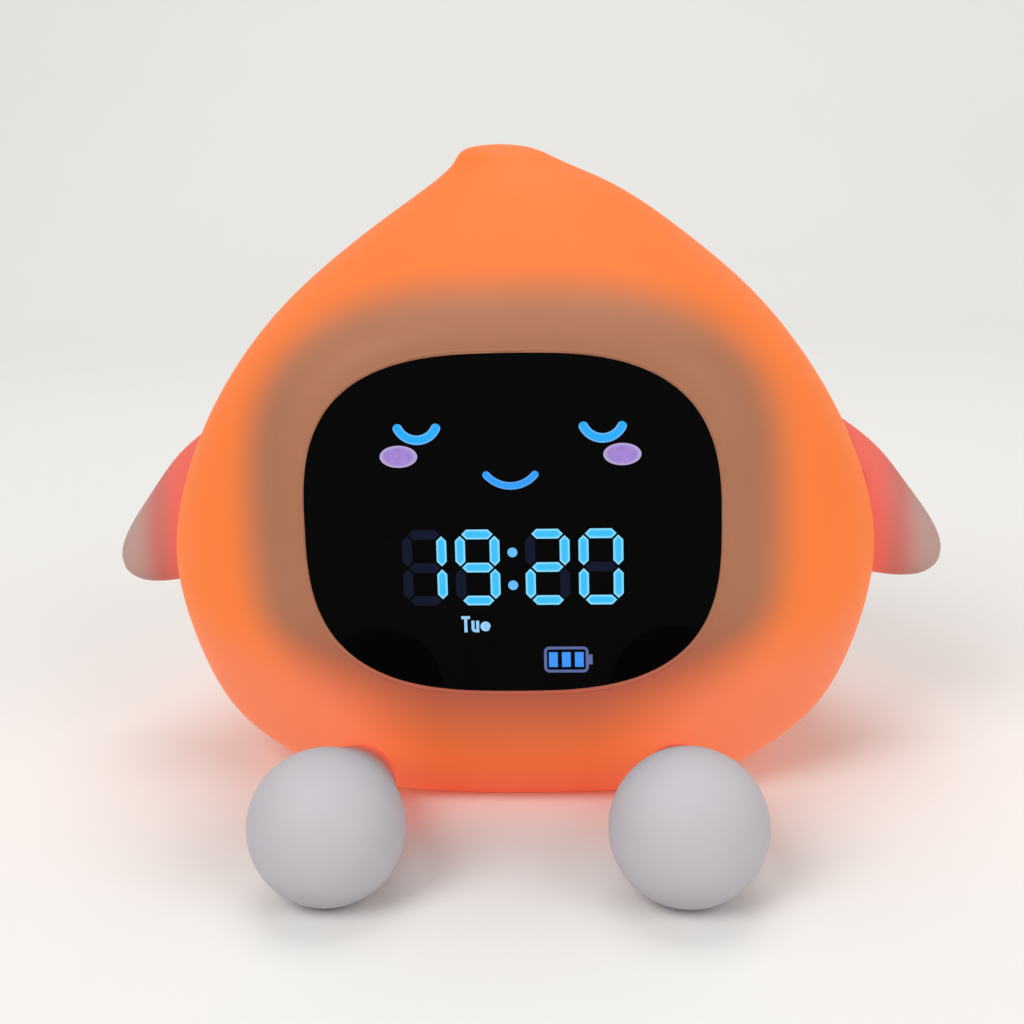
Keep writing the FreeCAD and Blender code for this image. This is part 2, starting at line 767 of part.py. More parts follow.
def make_base():
    """Base plate, its screws, the pad under it and the chassis above it."""
    bottom = pad_thickness
    base = plate(base_outline, body_power, bottom, base_top)
    heads = [rod(screw_head_radius + seat_clearance, (x, y, bottom - 1), UP, base_head_room + 1)
             for x, y in base_screw_places]
    keep("base_plate", base.cut(heads + base_screw_holes()))
    screws = [base_screw(x, y) for x, y in base_screw_places]
    keep("base_screws", Part.makeCompound(screws))
    keep("base_pad", plate(pad_outline, body_power, 0, pad_thickness))
    floor = plate(chassis_outline, body_power, floor_top, floor_top + chassis_floor)
    bosses = [rod(boss_radius, (x, y, floor_top), UP, boss_top - floor_top) for x, y in base_screw_places]
    saddles = []
    for x in saddle_places:
        saddles.append(box((x, cell_depth - saddle_half_width, floor_top),
                           (x + saddle_length, cell_depth + saddle_half_width, saddle_top)))
    post_length = mast_ring_bottom - floor_top
    posts = [rod(mast_post_radius, (x, y, floor_top), UP, post_length) for x, y in mast_posts]
    ring_place = (0, light_centre_depth, mast_ring_bottom)
    ring = rod(mast_ring_radius, ring_place, UP, mast_ring_top - mast_ring_bottom)
    ring = ring.cut(rod(mast_ring_bore, (0, light_centre_depth, mast_ring_bottom - 1), UP, 5))
    room_start = (-cell_half_length - 2, cell_depth, cell_height)
    cell_room = rod(cell_radius + seat_clearance, room_start, Vector(1, 0, 0), 2 * cell_half_length + 4)
    holes = [rod(screw_shank_radius, (x, y, floor_top - 1), UP, 7.5) for x, y in base_screw_places]
    holes += [rod(screw_shank_radius, (x, y, mast_ring_top - 5), UP, 6) for x, y in mast_posts]
    chassis = fuse([floor] + bosses + saddles + posts + [ring]).cut([cell_room] + holes)
    keep("chassis", chassis)


def base_screw(x, y):
    head = rod(screw_head_radius, (x, y, pad_thickness), UP, base_head_height)
    recess = rod(recess_radius, (x, y, pad_thickness), UP, base_recess_depth)
    shank = rod(screw_shank_radius, (x, y, pad_thickness + base_head_height), UP, base_shank_length)
    return fuse([head.cut(recess), shank])


def make_cell():
    """Rechargeable cell with its raised button, its strap and its leads."""
    x_axis = Vector(1, 0, 0)
    can_length = 2 * cell_half_length - cell_button_height
    can = rod(cell_radius, (-cell_half_length, cell_depth, cell_height), x_axis, can_length)
    button_start = (cell_half_length - cell_button_height, cell_depth, cell_height)
    button = rod(cell_button_radius, button_start, x_axis, cell_button_height)
    keep("cell", fuse([can, button]))
    half = strap_half_width
    wide = half + 1
    outer_radius = cell_radius + strap_thickness
    inner_radius = cell_radius + strap_gap
    strap_outer = rod(outer_radius, (-half, cell_depth, cell_height), x_axis, 2 * half)
    strap_inner = rod(inner_radius, (-wide, cell_depth, cell_height), x_axis, 2 * wide)
    lower = box((-half, cell_depth - outer_radius, floor_top + chassis_floor),
                (half, cell_depth + outer_radius, cell_height))
    room = box((-wide, cell_depth - inner_radius, floor_top), (wide, cell_depth + inner_radius, cell_height))
    upper = strap_outer.cut(strap_inner).common(box((-wide, -30, cell_height), (wide, 30, 40)))
    keep("cell_strap", fuse([upper, lower.cut(room)]))
    leads = []
    for x in lead_places:
        start = cell_depth + math.sqrt(cell_radius ** 2 - (lead_height - cell_height) ** 2) - 0.3
        lead = rod(lead_radius, (x, start, lead_height), BACKWARD, board_front - board_thickness - start)
        leads.append(lead.cut(nodes["cell"]))
    keep("cell_leads", Part.makeCompound(leads))


def make_light():
    """Night light board with its lamps and screws."""
    bottom = mast_ring_top
    board = rod(light_board_radius, (0, light_centre_depth, bottom), UP, board_thickness)
    holes = [rod(screw_shank_radius, (x, y, bottom), UP, board_thickness) for x, y in mast_posts]
    keep("night_light_board", board.cut(holes))
    top = bottom + board_thickness
    half = light_lamp_side / 2
    lamps = []
    for index in range(light_lamp_count):
        lamp_top = top + light_lamp_height
        lamp = box((light_lamp_ring - half, -half, top), (light_lamp_ring + half, half, lamp_top))
        dome = Part.makeSphere(lamp_dome_radius, Vector(light_lamp_ring, 0, lamp_top - lamp_dome_sink))
        lamp = fuse([lamp, dome.common(box((0, -9, top), (40, 9, top + 6)))])
        lamp.rotate(Vector(0, 0, 0), UP, 360 * (index + 0.5) / light_lamp_count)
        lamp.translate(Vector(0, light_centre_depth, 0))
        lamps.append(lamp)
    keep("night_light_lamps", Part.makeCompound(lamps))
    screws = [screw((x, y, top), UP * -1, light_screw_length) for x, y in mast_posts]
    keep("night_light_screws", Part.makeCompound(screws))


def make_panel():
    """Rear panel with its openings, posts and screws."""
    back = panel_face - panel_thickness
    panel = panel_prism(0, back, panel_face)
    post_length = back - board_front
    posts = [rod(board_post_radius, (x, board_front, z), BACKWARD, post_length) for x, z in board_post_places]
    cuts = [rod(board_screw_radius, (x, board_front - 1, z), BACKWARD, 5) for x, z in board_post_places]
    for x, z in button_places.values():
        cuts.append(rod(button_radius + button_clearance, (x, back - 1, z), BACKWARD, 5))
    for radius, count in grille_rings:
        for index in range(count):
            angle = 2 * math.pi * index / count
            x = radius * math.cos(angle)
            z = speaker_height + radius * math.sin(angle)
            cuts.append(rod(grille_hole, (x, back - 1, z), BACKWARD, 5))
    x, z = switch_place
    half_slot = (knob_length + switch_travel) / 2 + knob_clearance
    half_tall = knob_width / 2 + knob_clearance
    cuts.append(box((x - half_slot, back - 1, z - half_tall), (x + half_slot, panel_face + 1, z + half_tall)))
    half_w = socket_half_width + socket_clearance
    half_h = socket_half_height + socket_clearance
    cuts.append(stadium(socket_place, half_w, half_h, back - 1, panel_face + 1))
    for x, z in panel_screw_places:
        cuts.append(rod(screw_shank_radius, (x, back - 1, z), BACKWARD, 5))
        head_seat = (x, panel_face - panel_head_room, z)
        cuts.append(rod(screw_head_radius + seat_clearance, head_seat, BACKWARD, 3))
    cuts.append(rod(pin_hole_radius, (pin_hole[0], back - 1, pin_hole[1]), BACKWARD, 5))
    keep("rear_panel", fuse([panel] + posts).cut(cuts))
    seat = panel_face - panel_head_room
    screws = []
    for x, z in panel_screw_places:
        head = rod(screw_head_radius, (x, seat, z), BACKWARD, panel_head_height)
        recess_floor = seat + panel_head_height - base_recess_depth
        head = head.cut(rod(recess_radius, (x, recess_floor, z), BACKWARD, 1))
        shank = rod(screw_shank_radius, (x, seat - panel_shank_length, z), BACKWARD, panel_shank_length)
        screws.append(fuse([head, shank]))
    keep("panel_screws", Part.makeCompound(screws))


def stadium(place, half_w, half_h, start, end):
    x, z = place
    length = end - start
    core = box((x - half_w + half_h, start, z - half_h), (x + half_w - half_h, end, z + half_h))
    ends = [rod(half_h, (x + side * (half_w - half_h), start, z), BACKWARD, length) for side in (-1, 1)]
    return fuse([core] + ends)


def make_buttons():
    """Button caps with their plungers, and the switches on the board."""
    back = panel_face - panel_thickness
    flange_top = back - button_rest_gap
    flange_bottom = flange_top - button_flange
    tact_top = board_front + tact_height
    tacts = []
    for name, (x, z) in button_places.items():
        cap = rod(button_radius, (x, flange_bottom, z), BACKWARD, panel_face + button_rise - flange_bottom)
        rim = max(cap.Edges, key=lambda edge: edge.CenterOfMass.y)
        cap = cap.makeFillet(button_edge, [rim])
        flange = rod(button_flange_radius, (x, flange_bottom, z), BACKWARD, button_flange)
        start = tact_top - plunger_sink
        plunger = rod(plunger_radius, (x, start, z), BACKWARD, flange_bottom - start)
        keep("button_" + name, fuse([cap, flange, plunger]))
        tact = box((x - tact_half, board_front, z - tact_half), (x + tact_half, tact_top, z + tact_half))
        well_depth = plunger_sink + button_travel + plunger_room
        well = rod(plunger_radius + plunger_clearance, (x, tact_top - well_depth, z), BACKWARD, well_depth)
        tacts.append(tact.cut(well))
    keep("tact_switches", Part.makeCompound(tacts))


def make_slide_switch():
    """Power switch: metal can on the board, knob through the panel."""
    x, z = switch_place
    back = panel_face - panel_thickness
    can_top = board_front + switch_can_height
    can = box((x - switch_can_half_length, board_front, z - switch_can_half_width),
              (x + switch_can_half_length, can_top, z + switch_can_half_width))
    slot = box((x - switch_slot_half_length, board_front + switch_slot_floor, z - switch_slot_half_width),
               (x + switch_slot_half_length, can_top + 1, z + switch_slot_half_width))
    keep("power_switch_can", can.cut(slot))
    left = x - switch_travel / 2
    stalk = box((left - stalk_half_length, board_front + stalk_floor, z - stalk_half_width),
                (left + stalk_half_length, back - knob_flange_back, z + stalk_half_width))
    flange = box((left - knob_flange_length / 2, back - knob_flange_front, z - knob_flange_width / 2),
                 (left + knob_flange_length / 2, back - knob_flange_back, z + knob_flange_width / 2))
    knob_top = panel_face + knob_rise
    knob = box((left - knob_length / 2, back - knob_flange_front, z - knob_width / 2),
               (left + knob_length / 2, knob_top, z + knob_width / 2))
    ridges = [box((left + offset - knob_ridge_half, knob_top, z - knob_width / 2),
                  (left + offset + knob_ridge_half, knob_top + knob_ridge_height, z + knob_width / 2))
              for offset in knob_ridge_offsets]
    keep("power_switch_knob", fuse([stalk, flange, knob] + ridges))


def make_socket():
    """Charging socket: metal shell, and its tongue on a moulded base."""
    end = panel_face - socket_recess
    outer = stadium(socket_place, socket_half_width, socket_half_height, board_front, end)
    inner = stadium(socket_place, socket_half_width - socket_wall, socket_half_height - socket_wall,
                    board_front + socket_floor, panel_face + 1)
    keep("charging_socket_shell", outer.cut(inner))
    x, z = socket_place
    tongue = box((x - tongue_half_width, board_front + socket_floor, z - tongue_half_height),
                 (x + tongue_half_width, panel_face - tongue_recess, z + tongue_half_height))
    keep("charging_socket_tongue", tongue)


def make_control_board():
    """Board behind the rear panel, its chip, ribbon sockets and screws."""
    back = board_front - board_thickness
    board = box((-board_half_width, back, panel_centre - board_half_height),
                (board_half_width, board_front, panel_centre + board_half_height))
    cuts = [rod(speaker_hole, (0, back - 1, speaker_height), BACKWARD, 4)]
    cuts += [rod(board_screw_hole, (x, back - 1, z), BACKWARD, 4) for x, z in board_post_places]
    for x, z in panel_screw_places:
        inner_x = abs(x) - notch_reach
        outward = 1 if z > panel_centre else -1
        near = z - outward * notch_reach
        far = z + outward * 10
        corner = box((inner_x, back - 1, min(near, far)), (40, board_front + 1, max(near, far)))
        cuts.append(corner if x > 0 else mirror_x(corner))
    keep("control_board", board.cut(cuts))
    screws = []
    for x, z in board_post_places:
        start = back - board_head_height
        head = rod(board_head_radius, (x, start, z), BACKWARD, board_head_height)
        head = head.cut(rod(board_recess_radius, (x, start, z), BACKWARD, board_recess_depth))
        screws.append(fuse([head, rod(board_screw_radius, (x, back, z), BACKWARD, board_screw_length)]))
    keep("board_screws", Part.makeCompound(screws))
    keep("main_chip", chip(main_chip_low, main_chip_high, back, main_chip_height))
    keep("sounder_amplifier_chip", chip(amplifier_low, amplifier_high, back, amplifier_height))


def chip(low, high, back, height):
    """Chip on the front of a board whose front face is at back, by two corners in X and Z."""
    return box((low[0], back - height, low[1]), (high[0], back, high[1]))


def make_speaker():
    """Small speaker behind the grille: gasket, basket, cone and magnet."""
    back = panel_face - panel_thickness
    front = back - gasket_thickness
    gasket = speaker_disc(gasket_radius, front, gasket_thickness)
    keep("speaker_gasket", gasket.cut(speaker_disc(gasket_bore, front - 1, gasket_thickness + 2)))
    floor = front - basket_depth
    basket = speaker_disc(speaker_radius, floor, basket_depth)
    basket = basket.cut(speaker_disc(speaker_radius - basket_wall, floor + basket_floor, basket_depth))
    keep("speaker_basket", basket.cut(speaker_disc(basket_bore, floor - 1, basket_floor + 2)))
    keep("speaker_magnet", speaker_disc(magnet_radius, floor - magnet_depth, magnet_depth))
    outer = Part.makeCone(cone_small_radius, cone_large_radius, cone_depth,
                          Vector(0, front - cone_back, speaker_height), BACKWARD)
    inner = Part.makeCone(cone_small_radius - cone_thickness, cone_large_radius - cone_thickness, cone_depth,
                          Vector(0, front - cone_face, speaker_height), BACKWARD)
    keep("speaker_cone", outer.cut(inner))


def speaker_disc(radius, start, depth):
    return rod(radius, (0, start, speaker_height), BACKWARD, depth)


def make_ribbon():
    """Flat ribbon from the display board to the control board, with its two sockets."""
    back = board_front - board_thickness
    left = ribbon_left
    right = ribbon_left + ribbon_width
    low = ribbon_height
    high = ribbon_height + ribbon_thickness
    side_low = (left - ribbon_socket_side, low - ribbon_socket_rim)
    side_high = (right + ribbon_socket_side, high + ribbon_socket_rim)
    slot = box((left, ribbon_front - 9, low), (right, back, high))
    front_room = box((side_low[0], ribbon_front, side_low[1]),
                     (side_high[0], ribbon_front + ribbon_socket_depth, side_high[1]))
    socket_front = front_room.cut(nodes["display_board"]).cut(slot)
    rear_room = box((side_low[0], back - ribbon_socket_depth, side_low[1]), (side_high[0], back, side_high[1]))
    keep("ribbon_sockets", Part.makeCompound([socket_front, rear_room.cut(slot)]))
    keep("display_ribbon", box((left, ribbon_front, low), (right, back, high)).cut(nodes["display_board"]))


def main():
    outer = drop(0.0)
    make_display()
    pegs = make_soft_parts(outer)
    make_shells(pegs)
    make_base()
    make_cell()
    make_light()
    make_panel()
    make_buttons()
    make_slide_switch()
    make_socket()
    make_control_board()
    make_speaker()
    make_ribbon()
    os.makedirs("parts", exist_ok=True)
    for name, shape in nodes.items():
        print(name, "solids", len(shape.Solids), "volume", round(shape.Volume, 1), "valid", shape.isValid())
        shape.exportStep("parts/" + name + ".step")


main()
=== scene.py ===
import bmesh
import bpy
import json
import math
from mathutils import Matrix, Vector


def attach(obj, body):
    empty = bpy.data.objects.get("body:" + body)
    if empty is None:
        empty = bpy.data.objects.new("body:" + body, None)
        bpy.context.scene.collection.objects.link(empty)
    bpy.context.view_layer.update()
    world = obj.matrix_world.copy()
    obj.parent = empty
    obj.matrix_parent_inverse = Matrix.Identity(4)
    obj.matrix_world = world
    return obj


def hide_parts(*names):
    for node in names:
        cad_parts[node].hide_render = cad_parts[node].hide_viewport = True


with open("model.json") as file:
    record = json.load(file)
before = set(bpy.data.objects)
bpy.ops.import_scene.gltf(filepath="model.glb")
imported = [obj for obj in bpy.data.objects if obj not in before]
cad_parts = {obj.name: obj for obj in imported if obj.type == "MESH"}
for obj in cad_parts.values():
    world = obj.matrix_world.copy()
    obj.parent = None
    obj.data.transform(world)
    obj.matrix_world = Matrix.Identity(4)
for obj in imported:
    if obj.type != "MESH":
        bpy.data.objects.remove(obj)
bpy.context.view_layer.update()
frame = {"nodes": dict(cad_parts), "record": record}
record = frame["record"]
MM = 0.001
HOUSING = "housing"

# Camera, fitted to the outline, the lens and the feet in the photograph: degrees, metres, and
# millimetres for its own lens and sensor
CAMERA_AZIMUTH = 3.6
CAMERA_ELEVATION = 14.4
CAMERA_ROLL = 1.5
CAMERA_DISTANCE = 0.2951
CAMERA_TARGET = Vector((-0.0021, 0.0, 0.0403))
CAMERA_LENS = 60.0
CAMERA_SENSOR = 36.0
CAMERA_NEAREST = 0.01

# Stage and lights, in metres and watts: each light's place, width and power
STAGE_HALF_WIDTH = 3.0
STAGE_FRONT = -1.5
STAGE_BEND_START = 0.45
STAGE_BEND_RADIUS = 0.5
STAGE_BEND_STEPS = 16
STAGE_TOP = 2.5
LIGHT_AIM = Vector((0, 0, 0.045))
LIGHTS = {
    "key": (Vector((-0.55, -0.75, 0.85)), 0.7, 7.0),
    "fill": (Vector((0.75, -0.65, 0.55)), 0.8, 4.0),
    "top": (Vector((0.0, 0.35, 1.05)), 0.8, 4.0),
}
SURROUND_STRENGTH = 0.42

# Body of the drop, the same stations as the solid: height, half width, front depth, rear depth,
# centre x and roundness power, in millimetres
BODY_POWER = 2.75
BODY_STATIONS = [
    (0.0, 36.0, 27.0, 30.0, 0.0, BODY_POWER),
    (3.0, 41.4, 31.2, 34.4, 0.0, BODY_POWER),
    (7.0, 46.7, 34.4, 37.6, 0.0, BODY_POWER),
    (13.0, 52.3, 36.3, 40.2, 0.0, BODY_POWER),
    (25.5, 57.4, 37.4, 42.0, 0.0, BODY_POWER),
    (38.0, 59.0, 37.6, 42.2, 0.0, BODY_POWER),
    (51.0, 56.0, 37.5, 41.0, 0.0, BODY_POWER),
    (64.0, 49.6, 36.9, 37.8, 0.0, BODY_POWER),
    (76.5, 40.0, 33.0, 31.4, 0.1, 2.6),
    (86.0, 29.3, 25.4, 24.0, 0.4, 2.3),
    (92.0, 21.2, 18.4, 18.2, 0.7, 2.1),
    (96.5, 14.2, 12.8, 12.8, 0.3, 2.0),
    (99.6, 9.0, 8.4, 8.4, -1.3, 2.0),
    (101.2, 6.8, 6.4, 6.4, -2.4, 2.0),
    (102.1, 4.6, 4.3, 4.3, -3.0, 2.0),
    (102.5, 1.6, 1.6, 1.6, -3.3, 2.0),
]
BODY_RINGS_PER_SPAN = 12
BODY_SIDES = 240

# Smallest step of a smooth run, and how many of a row's numbers count for its steps
SMALLEST_GAP = 1e-6
SPLINE_COLUMNS = 5

# Thickness of the cover, how many thicknesses the hollow is lower than the drop, and the least
# depth of the hollow before its middle
SKIN = 2.0
TIP_SKINS = 2.2
THINNEST_HOLLOW = 1.0

# Lens, in millimetres: its axes are X across, Y up and Z out of the face. The cover rises to its rim
# over the bezel's reach, and the collar is the room for the lens's frame behind the cover's lip. The
# mean half size turns a share of the lens's size into a length
LENS_CENTRE = (0.0, -35.0, 47.15)
LENS_LEAN = 1.0
LENS_HALF_WIDTH = 31.75
LENS_HALF_HEIGHT = 26.45
LENS_POWER = 2.9
LENS_MEAN_HALF = 29.0
LENS_SIDES = 320
RIM_RISE = 0.25
RIM_RADIUS = 0.45
RIM_GAP = 0.03
RIM_PROUD = 0.08
RIM_SIDES = 12
BEZEL_REACH = 10.0
SIGHT_FRONT = 9.0
COLLAR_ROOM = 1.35
COLLAR_BACK = -14.0
LIP_BACK = -0.35

# Eyes, cheeks and mouth on the lens, and where their paler edges start and are complete: shares of an
# arc's half stroke and of a cheek's radius
EYE_SPACING = 14.0
EYE_LOW = 13.4
EYE_RADIUS = 3.2
EYE_STROKE = 1.45
MOUTH_LOW = 6.2
MOUTH_RADIUS = 4.8
MOUTH_STROKE = 1.15
CHEEK_SPACING = 16.9
CHEEK_HEIGHT = 10.9
CHEEK_HALF_WIDTH = 2.85
CHEEK_HALF_HEIGHT = 1.7
ARC_EDGE = (0.45, 0.95)
CHEEK_EDGE = (0.7, 0.98)

# Digits, and how deep in a bar its paler edge starts and is complete
DIGIT_PLACES = (-13.5, -5.35, 5.35, 13.5)
DIGIT_MIDDLE = -6.55
DIGIT_WIDTH = 6.8
DIGIT_HEIGHT = 12.0
SEGMENT_WIDTH = 1.52
SEGMENT_GAP = 0.24
SEGMENT_EDGE = (0.42, 0.12)

# Legs: a ball for a foot, then a cone that starts a little inside the ball and runs into the body
FOOT_RADIUS = 11.3
FOOT_CENTRE = (25.6, -64.0, 10.95)
FOOT_RINGS = 32
FOOT_RING_DEGREES = 3.0
LEG_ROOT = (25.0, -36.0, 6.1)
LEG_ROOT_RADIUS = 5.6
LEG_REACH = 8.0
LEG_SUNK = 0.4
LEG_RINGS = 24
LEG_SIDES = 72

# Arms: distance from the root, half width and half thickness
ARM_DEPTH = 2.0
ARM_ROOT = (54.0, 41.0)
ARM_DIRECTION = (0.845, -0.535)
ARM_STATIONS = [
    (-8.0, 12.6, 6.4),
    (0.0, 11.6, 6.0),
    (7.0, 9.2, 5.2),
    (12.5, 7.0, 4.4),
    (16.5, 5.0, 3.4),
    (19.0, 2.9, 2.1),
    (20.0, 1.0, 0.8),
]
ARM_RINGS_PER_SPAN = 8
ARM_SIDES = 64

# Rear panel and base, the room round the panel in the cover, and how far the openings' cutters run
PANEL_HALF_WIDTH = 25.0
PANEL_HALF_HEIGHT = 19.0
PANEL_CORNER = 7.0
PANEL_CORNER_STEPS = 16
PANEL_CENTRE = 36.0
PANEL_FACE = 38.2
PANEL_ROOM = 1.9
PANEL_CUT = (-60.0, -20.0)
BASE_HALF_WIDTH = 32.8
BASE_FRONT = 23.6
BASE_BACK = 26.8
BASE_SIDES = 160
BASE_CUT_SPARE = 1.0

# Buttons and power switch, seen from behind: X and Z
BUTTON_PLACES = {"mode": (-13.0, 48.3), "alarm": (0.0, 48.3), "light": (13.0, 48.3),
                 "up": (-16.4, 35.8), "down": (16.4, 35.8)}
BUTTON_TOP = 39.4
SWITCH_PLACE = (-11.4, 21.6)

# Signs printed on the buttons and over the switch: three lines, a bell, a sun, a plus and a minus,
# then a ring for off and a bar for on
MARK_LINE = 0.42
MARK_SINK = 0.05
MARK_THICKNESS = 0.06
BAR_END_STEPS = 8
ARC_STEPS = 24
SIGN_REACH = 1.4
SIGN_LINE_STEP = 1.0
PLUS_GAP = 0.25
SUN_RADIUS = 0.85
RAY_START = 1.35
RAY_END = 1.95
RAY_COUNT = 8
BELL_FLANK = [(-1.45, -0.95), (-1.05, -0.5), (-1.0, 0.3)]
BELL_CROWN = (0, 0.35)
BELL_RADIUS = 1.0
BELL_STEPS = 16
CLAPPER_PLACE = (0, -1.5)
CLAPPER_RADIUS = 0.32
BELL_TOP_PLACE = (0, 1.75)
BELL_TOP_RADIUS = 0.26
SWITCH_SIGN_LIFT = 3.1
SWITCH_SIGN_SPACING = 2.0
OFF_RADIUS = 0.65
ON_REACH = 0.7

# Where the glow changes over the silicone, in millimetres. Each pair says where a change starts and
# where it is complete: the front by Y, low and high on the face by height over the lens's centre, the
# low corners by distance from the middle plane, the floor's light by height over the floor, and the
# fading of the body's glow, painted as light on arms and legs, by distance along X and Y
FRONT_ZONE = (-16.0, -30.0)
LOW_ZONE = (-12.0, -30.0)
HIGH_ZONE = (5.0, 26.0)
CORNER_ZONE = (10.0, 30.0)
FLOOR_ZONE = (0.0, 22.0)
ARM_GLOW_FADE = (58.0, 70.0)
LEG_GLOW_FADE = (34.0, 56.0)

# Shaded band round the lens, in millimetres: how far from the lens's edge it starts to fade and how
# wide the fading is, with what is added to each low or high on the face. At the low corners it is
# further on in its fading by a share of the width
BAND_START = 4.0
BAND_START_LOW = -6.0
BAND_START_HIGH = 1.5
BAND_WIDTH = 9.5
BAND_WIDTH_LOW = 8.0
BAND_CORNER = 0.25


def spline_rows(rows, per_span):
    """A smooth run through rows of numbers: centripetal steps, natural ends."""
    times = [0.0]
    for before, after in zip(rows, rows[1:]):
        pairs = list(zip(before, after))[:SPLINE_COLUMNS]
        gap = math.sqrt(sum((b - a) ** 2 for a, b in pairs))
        times.append(times[-1] + max(gap, SMALLEST_GAP) ** 0.5)
    columns = [natural_spline(times, values) for values in zip(*rows)]
    result = []
    for index in range(len(rows) - 1):
        for step in range(per_span):
            t = times[index] + (times[index + 1] - times[index]) * step / per_span
            result.append([spline_value(times, column, index, t) for column in columns])
    result.append(list(rows[-1]))
    return result


def natural_spline(times, values):
    """Values and second derivatives of a natural cubic spline."""
    count = len(values)
    second = [0.0] * count
    work = [0.0] * count
    for i in range(1, count - 1):
        ratio = (times[i] - times[i - 1]) / (times[i + 1] - times[i - 1])
        pivot = ratio * second[i - 1] + 2.0
        second[i] = (ratio - 1.0) / pivot
        slope = (values[i + 1] - values[i]) / (times[i + 1] - times[i])
        slope -= (values[i] - values[i - 1]) / (times[i] - times[i - 1])
        work[i] = (6.0 * slope / (times[i + 1] - times[i - 1]) - ratio * work[i - 1]) / pivot
    for i in range(count - 2, -1, -1):
        second[i] = second[i] * second[i + 1] + work[i]
    return values, second


def spline_value(times, column, index, t):
    values, second = column
    gap = times[index + 1] - times[index]
    a = (times[index + 1] - t) / gap
    b = (t - times[index]) / gap
    bend = (a ** 3 - a) * second[index] + (b ** 3 - b) * second[index + 1]
    return a * values[index] + b * values[index + 1] + bend * gap * gap / 6.0


def turn_angles(count):
    """The angles of one full turn in equal steps."""
    return [2 * math.pi * step / count for step in range(count)]


def superellipse(half_x, half_low, half_high, power, sides):
    """Points of an oval whose lower and upper halves may differ in depth."""
    points = []
    for angle in turn_angles(sides):
        cosine = math.cos(angle)
        sine = math.sin(angle)
        half = half_high if sine > 0 else half_low
        points.append((half_x * math.copysign(abs(cosine) ** (2 / power), cosine),
                       half * math.copysign(abs(sine) ** (2 / power), sine)))
    return points


def lens_outline(grow):
    half_height = LENS_HALF_HEIGHT + grow
    return superellipse(LENS_HALF_WIDTH + grow, half_height, half_height, LENS_POWER, LENS_SIDES)


def rounded_rectangle(half_width, half_height, corner, steps):
    points = []
    for index, (sx, sy) in enumerate(((1, 1), (-1, 1), (-1, -1), (1, -1))):
        for step in range(steps + 1):
            angle = math.pi / 2 * (index + step / steps)
            points.append((sx * (half_width - corner) + corner * math.cos(angle),
                           sy * (half_height - corner) + corner * math.sin(angle)))
    return points


def lens_matrix():
    turn = Matrix.Rotation(math.radians(90 - LENS_LEAN), 4, "X")
    return Matrix.Translation(Vector(LENS_CENTRE)) @ turn


LENS_FRAME = lens_matrix()
LENS_FRAME_BACK = LENS_FRAME.inverted()


def lens_distance(u, v):
    """About how far, in millimetres, a point lies outside the lens's edge; negative inside."""
    across = abs(u / LENS_HALF_WIDTH) ** LENS_POWER
    upward = abs(v / LENS_HALF_HEIGHT) ** LENS_POWER
    return ((across + upward) ** (1 / LENS_POWER) - 1.0) * LENS_MEAN_HALF


def smoothstep(low, high, value):
    t = min(max((value - low) / (high - low), 0.0), 1.0)
    return t * t * (3 - 2 * t)


def flush_with_lens(point):
    """Brings the cover's face level with the lens near the lens's edge."""
    if point.y > 0:
        return point
    local = LENS_FRAME_BACK @ point
    distance = lens_distance(local.x, local.y)
    weight = 1.0 - smoothstep(0.0, BEZEL_REACH, distance)
    local.z += (RIM_RISE - local.z) * weight
    return LENS_FRAME @ local


def drop_rings(inset, blend):
    """Rings of the drop, drawn in by inset all round, with its face brought to the lens on request."""
    height_of_drop = BODY_STATIONS[-1][0]
    scale = (height_of_drop - TIP_SKINS * inset) / height_of_drop
    rings = []
    for height, half_width, front, back, centre_x, power in spline_rows(BODY_STATIONS, BODY_RINGS_PER_SPAN):
        if inset and front < inset + THINNEST_HOLLOW:
            continue
        ring = []
        for x, y in superellipse(half_width - inset, front - inset, back - inset, power, BODY_SIDES):
            point = Vector((centre_x + x, y, inset + height * scale))
            ring.append(flush_with_lens(point) if blend else point)
        rings.append(ring)
    return rings


def mesh_from_rings(name, rings):
    """Closed mesh through rings of points, capped at both ends."""
    points = [point * MM for ring in rings for point in ring]
    sides = len(rings[0])
    faces = []
    for level in range(len(rings) - 1):
        for step in range(sides):
            following = (step + 1) % sides
            low = level * sides
            high = low + sides
            faces.append((low + step, low + following, high + following, high + step))
    faces.append(tuple(reversed(range(sides))))
    last = (len(rings) - 1) * sides
    faces.append(tuple(range(last, last + sides)))
    mesh = bpy.data.meshes.new(name)
    mesh.from_pydata([tuple(point) for point in points], [], faces)
    mesh.update()
    return mesh


def set_smooth(piece, smooth=True):
    for polygon in piece.data.polygons:
        polygon.use_smooth = smooth


def object_from_mesh(name, mesh, smooth=True):
    piece = bpy.data.objects.new(name, mesh)
    bpy.context.scene.collection.objects.link(piece)
    set_smooth(piece, smooth)
    return piece


def object_from_rings(name, rings, smooth=True):
    return object_from_mesh(name, mesh_from_rings(name, rings), smooth)


def prism(name, outline, bottom, top, matrix=Matrix.Identity(4)):
    """Closed prism on an outline of (x, y) points, in millimetres."""
    rings = [[matrix @ Vector((x, y, z)) for x, y in outline] for z in (bottom, top)]
    return object_from_rings(name, rings, smooth=False)


def cut(piece, *cutters):
    """Takes the cutters away from the piece and deletes them."""
    for cutter in cutters:
        modifier = piece.modifiers.new("cut", "BOOLEAN")
        modifier.operation = "DIFFERENCE"
        modifier.solver = "MANIFOLD"
        modifier.object = cutter
        apply_modifiers(piece)
        bpy.data.objects.remove(cutter)


def apply_modifiers(piece):
    graph = bpy.context.evaluated_depsgraph_get()
    mesh = bpy.data.meshes.new_from_object(piece.evaluated_get(graph))
    piece.modifiers.clear()
    piece.data = mesh


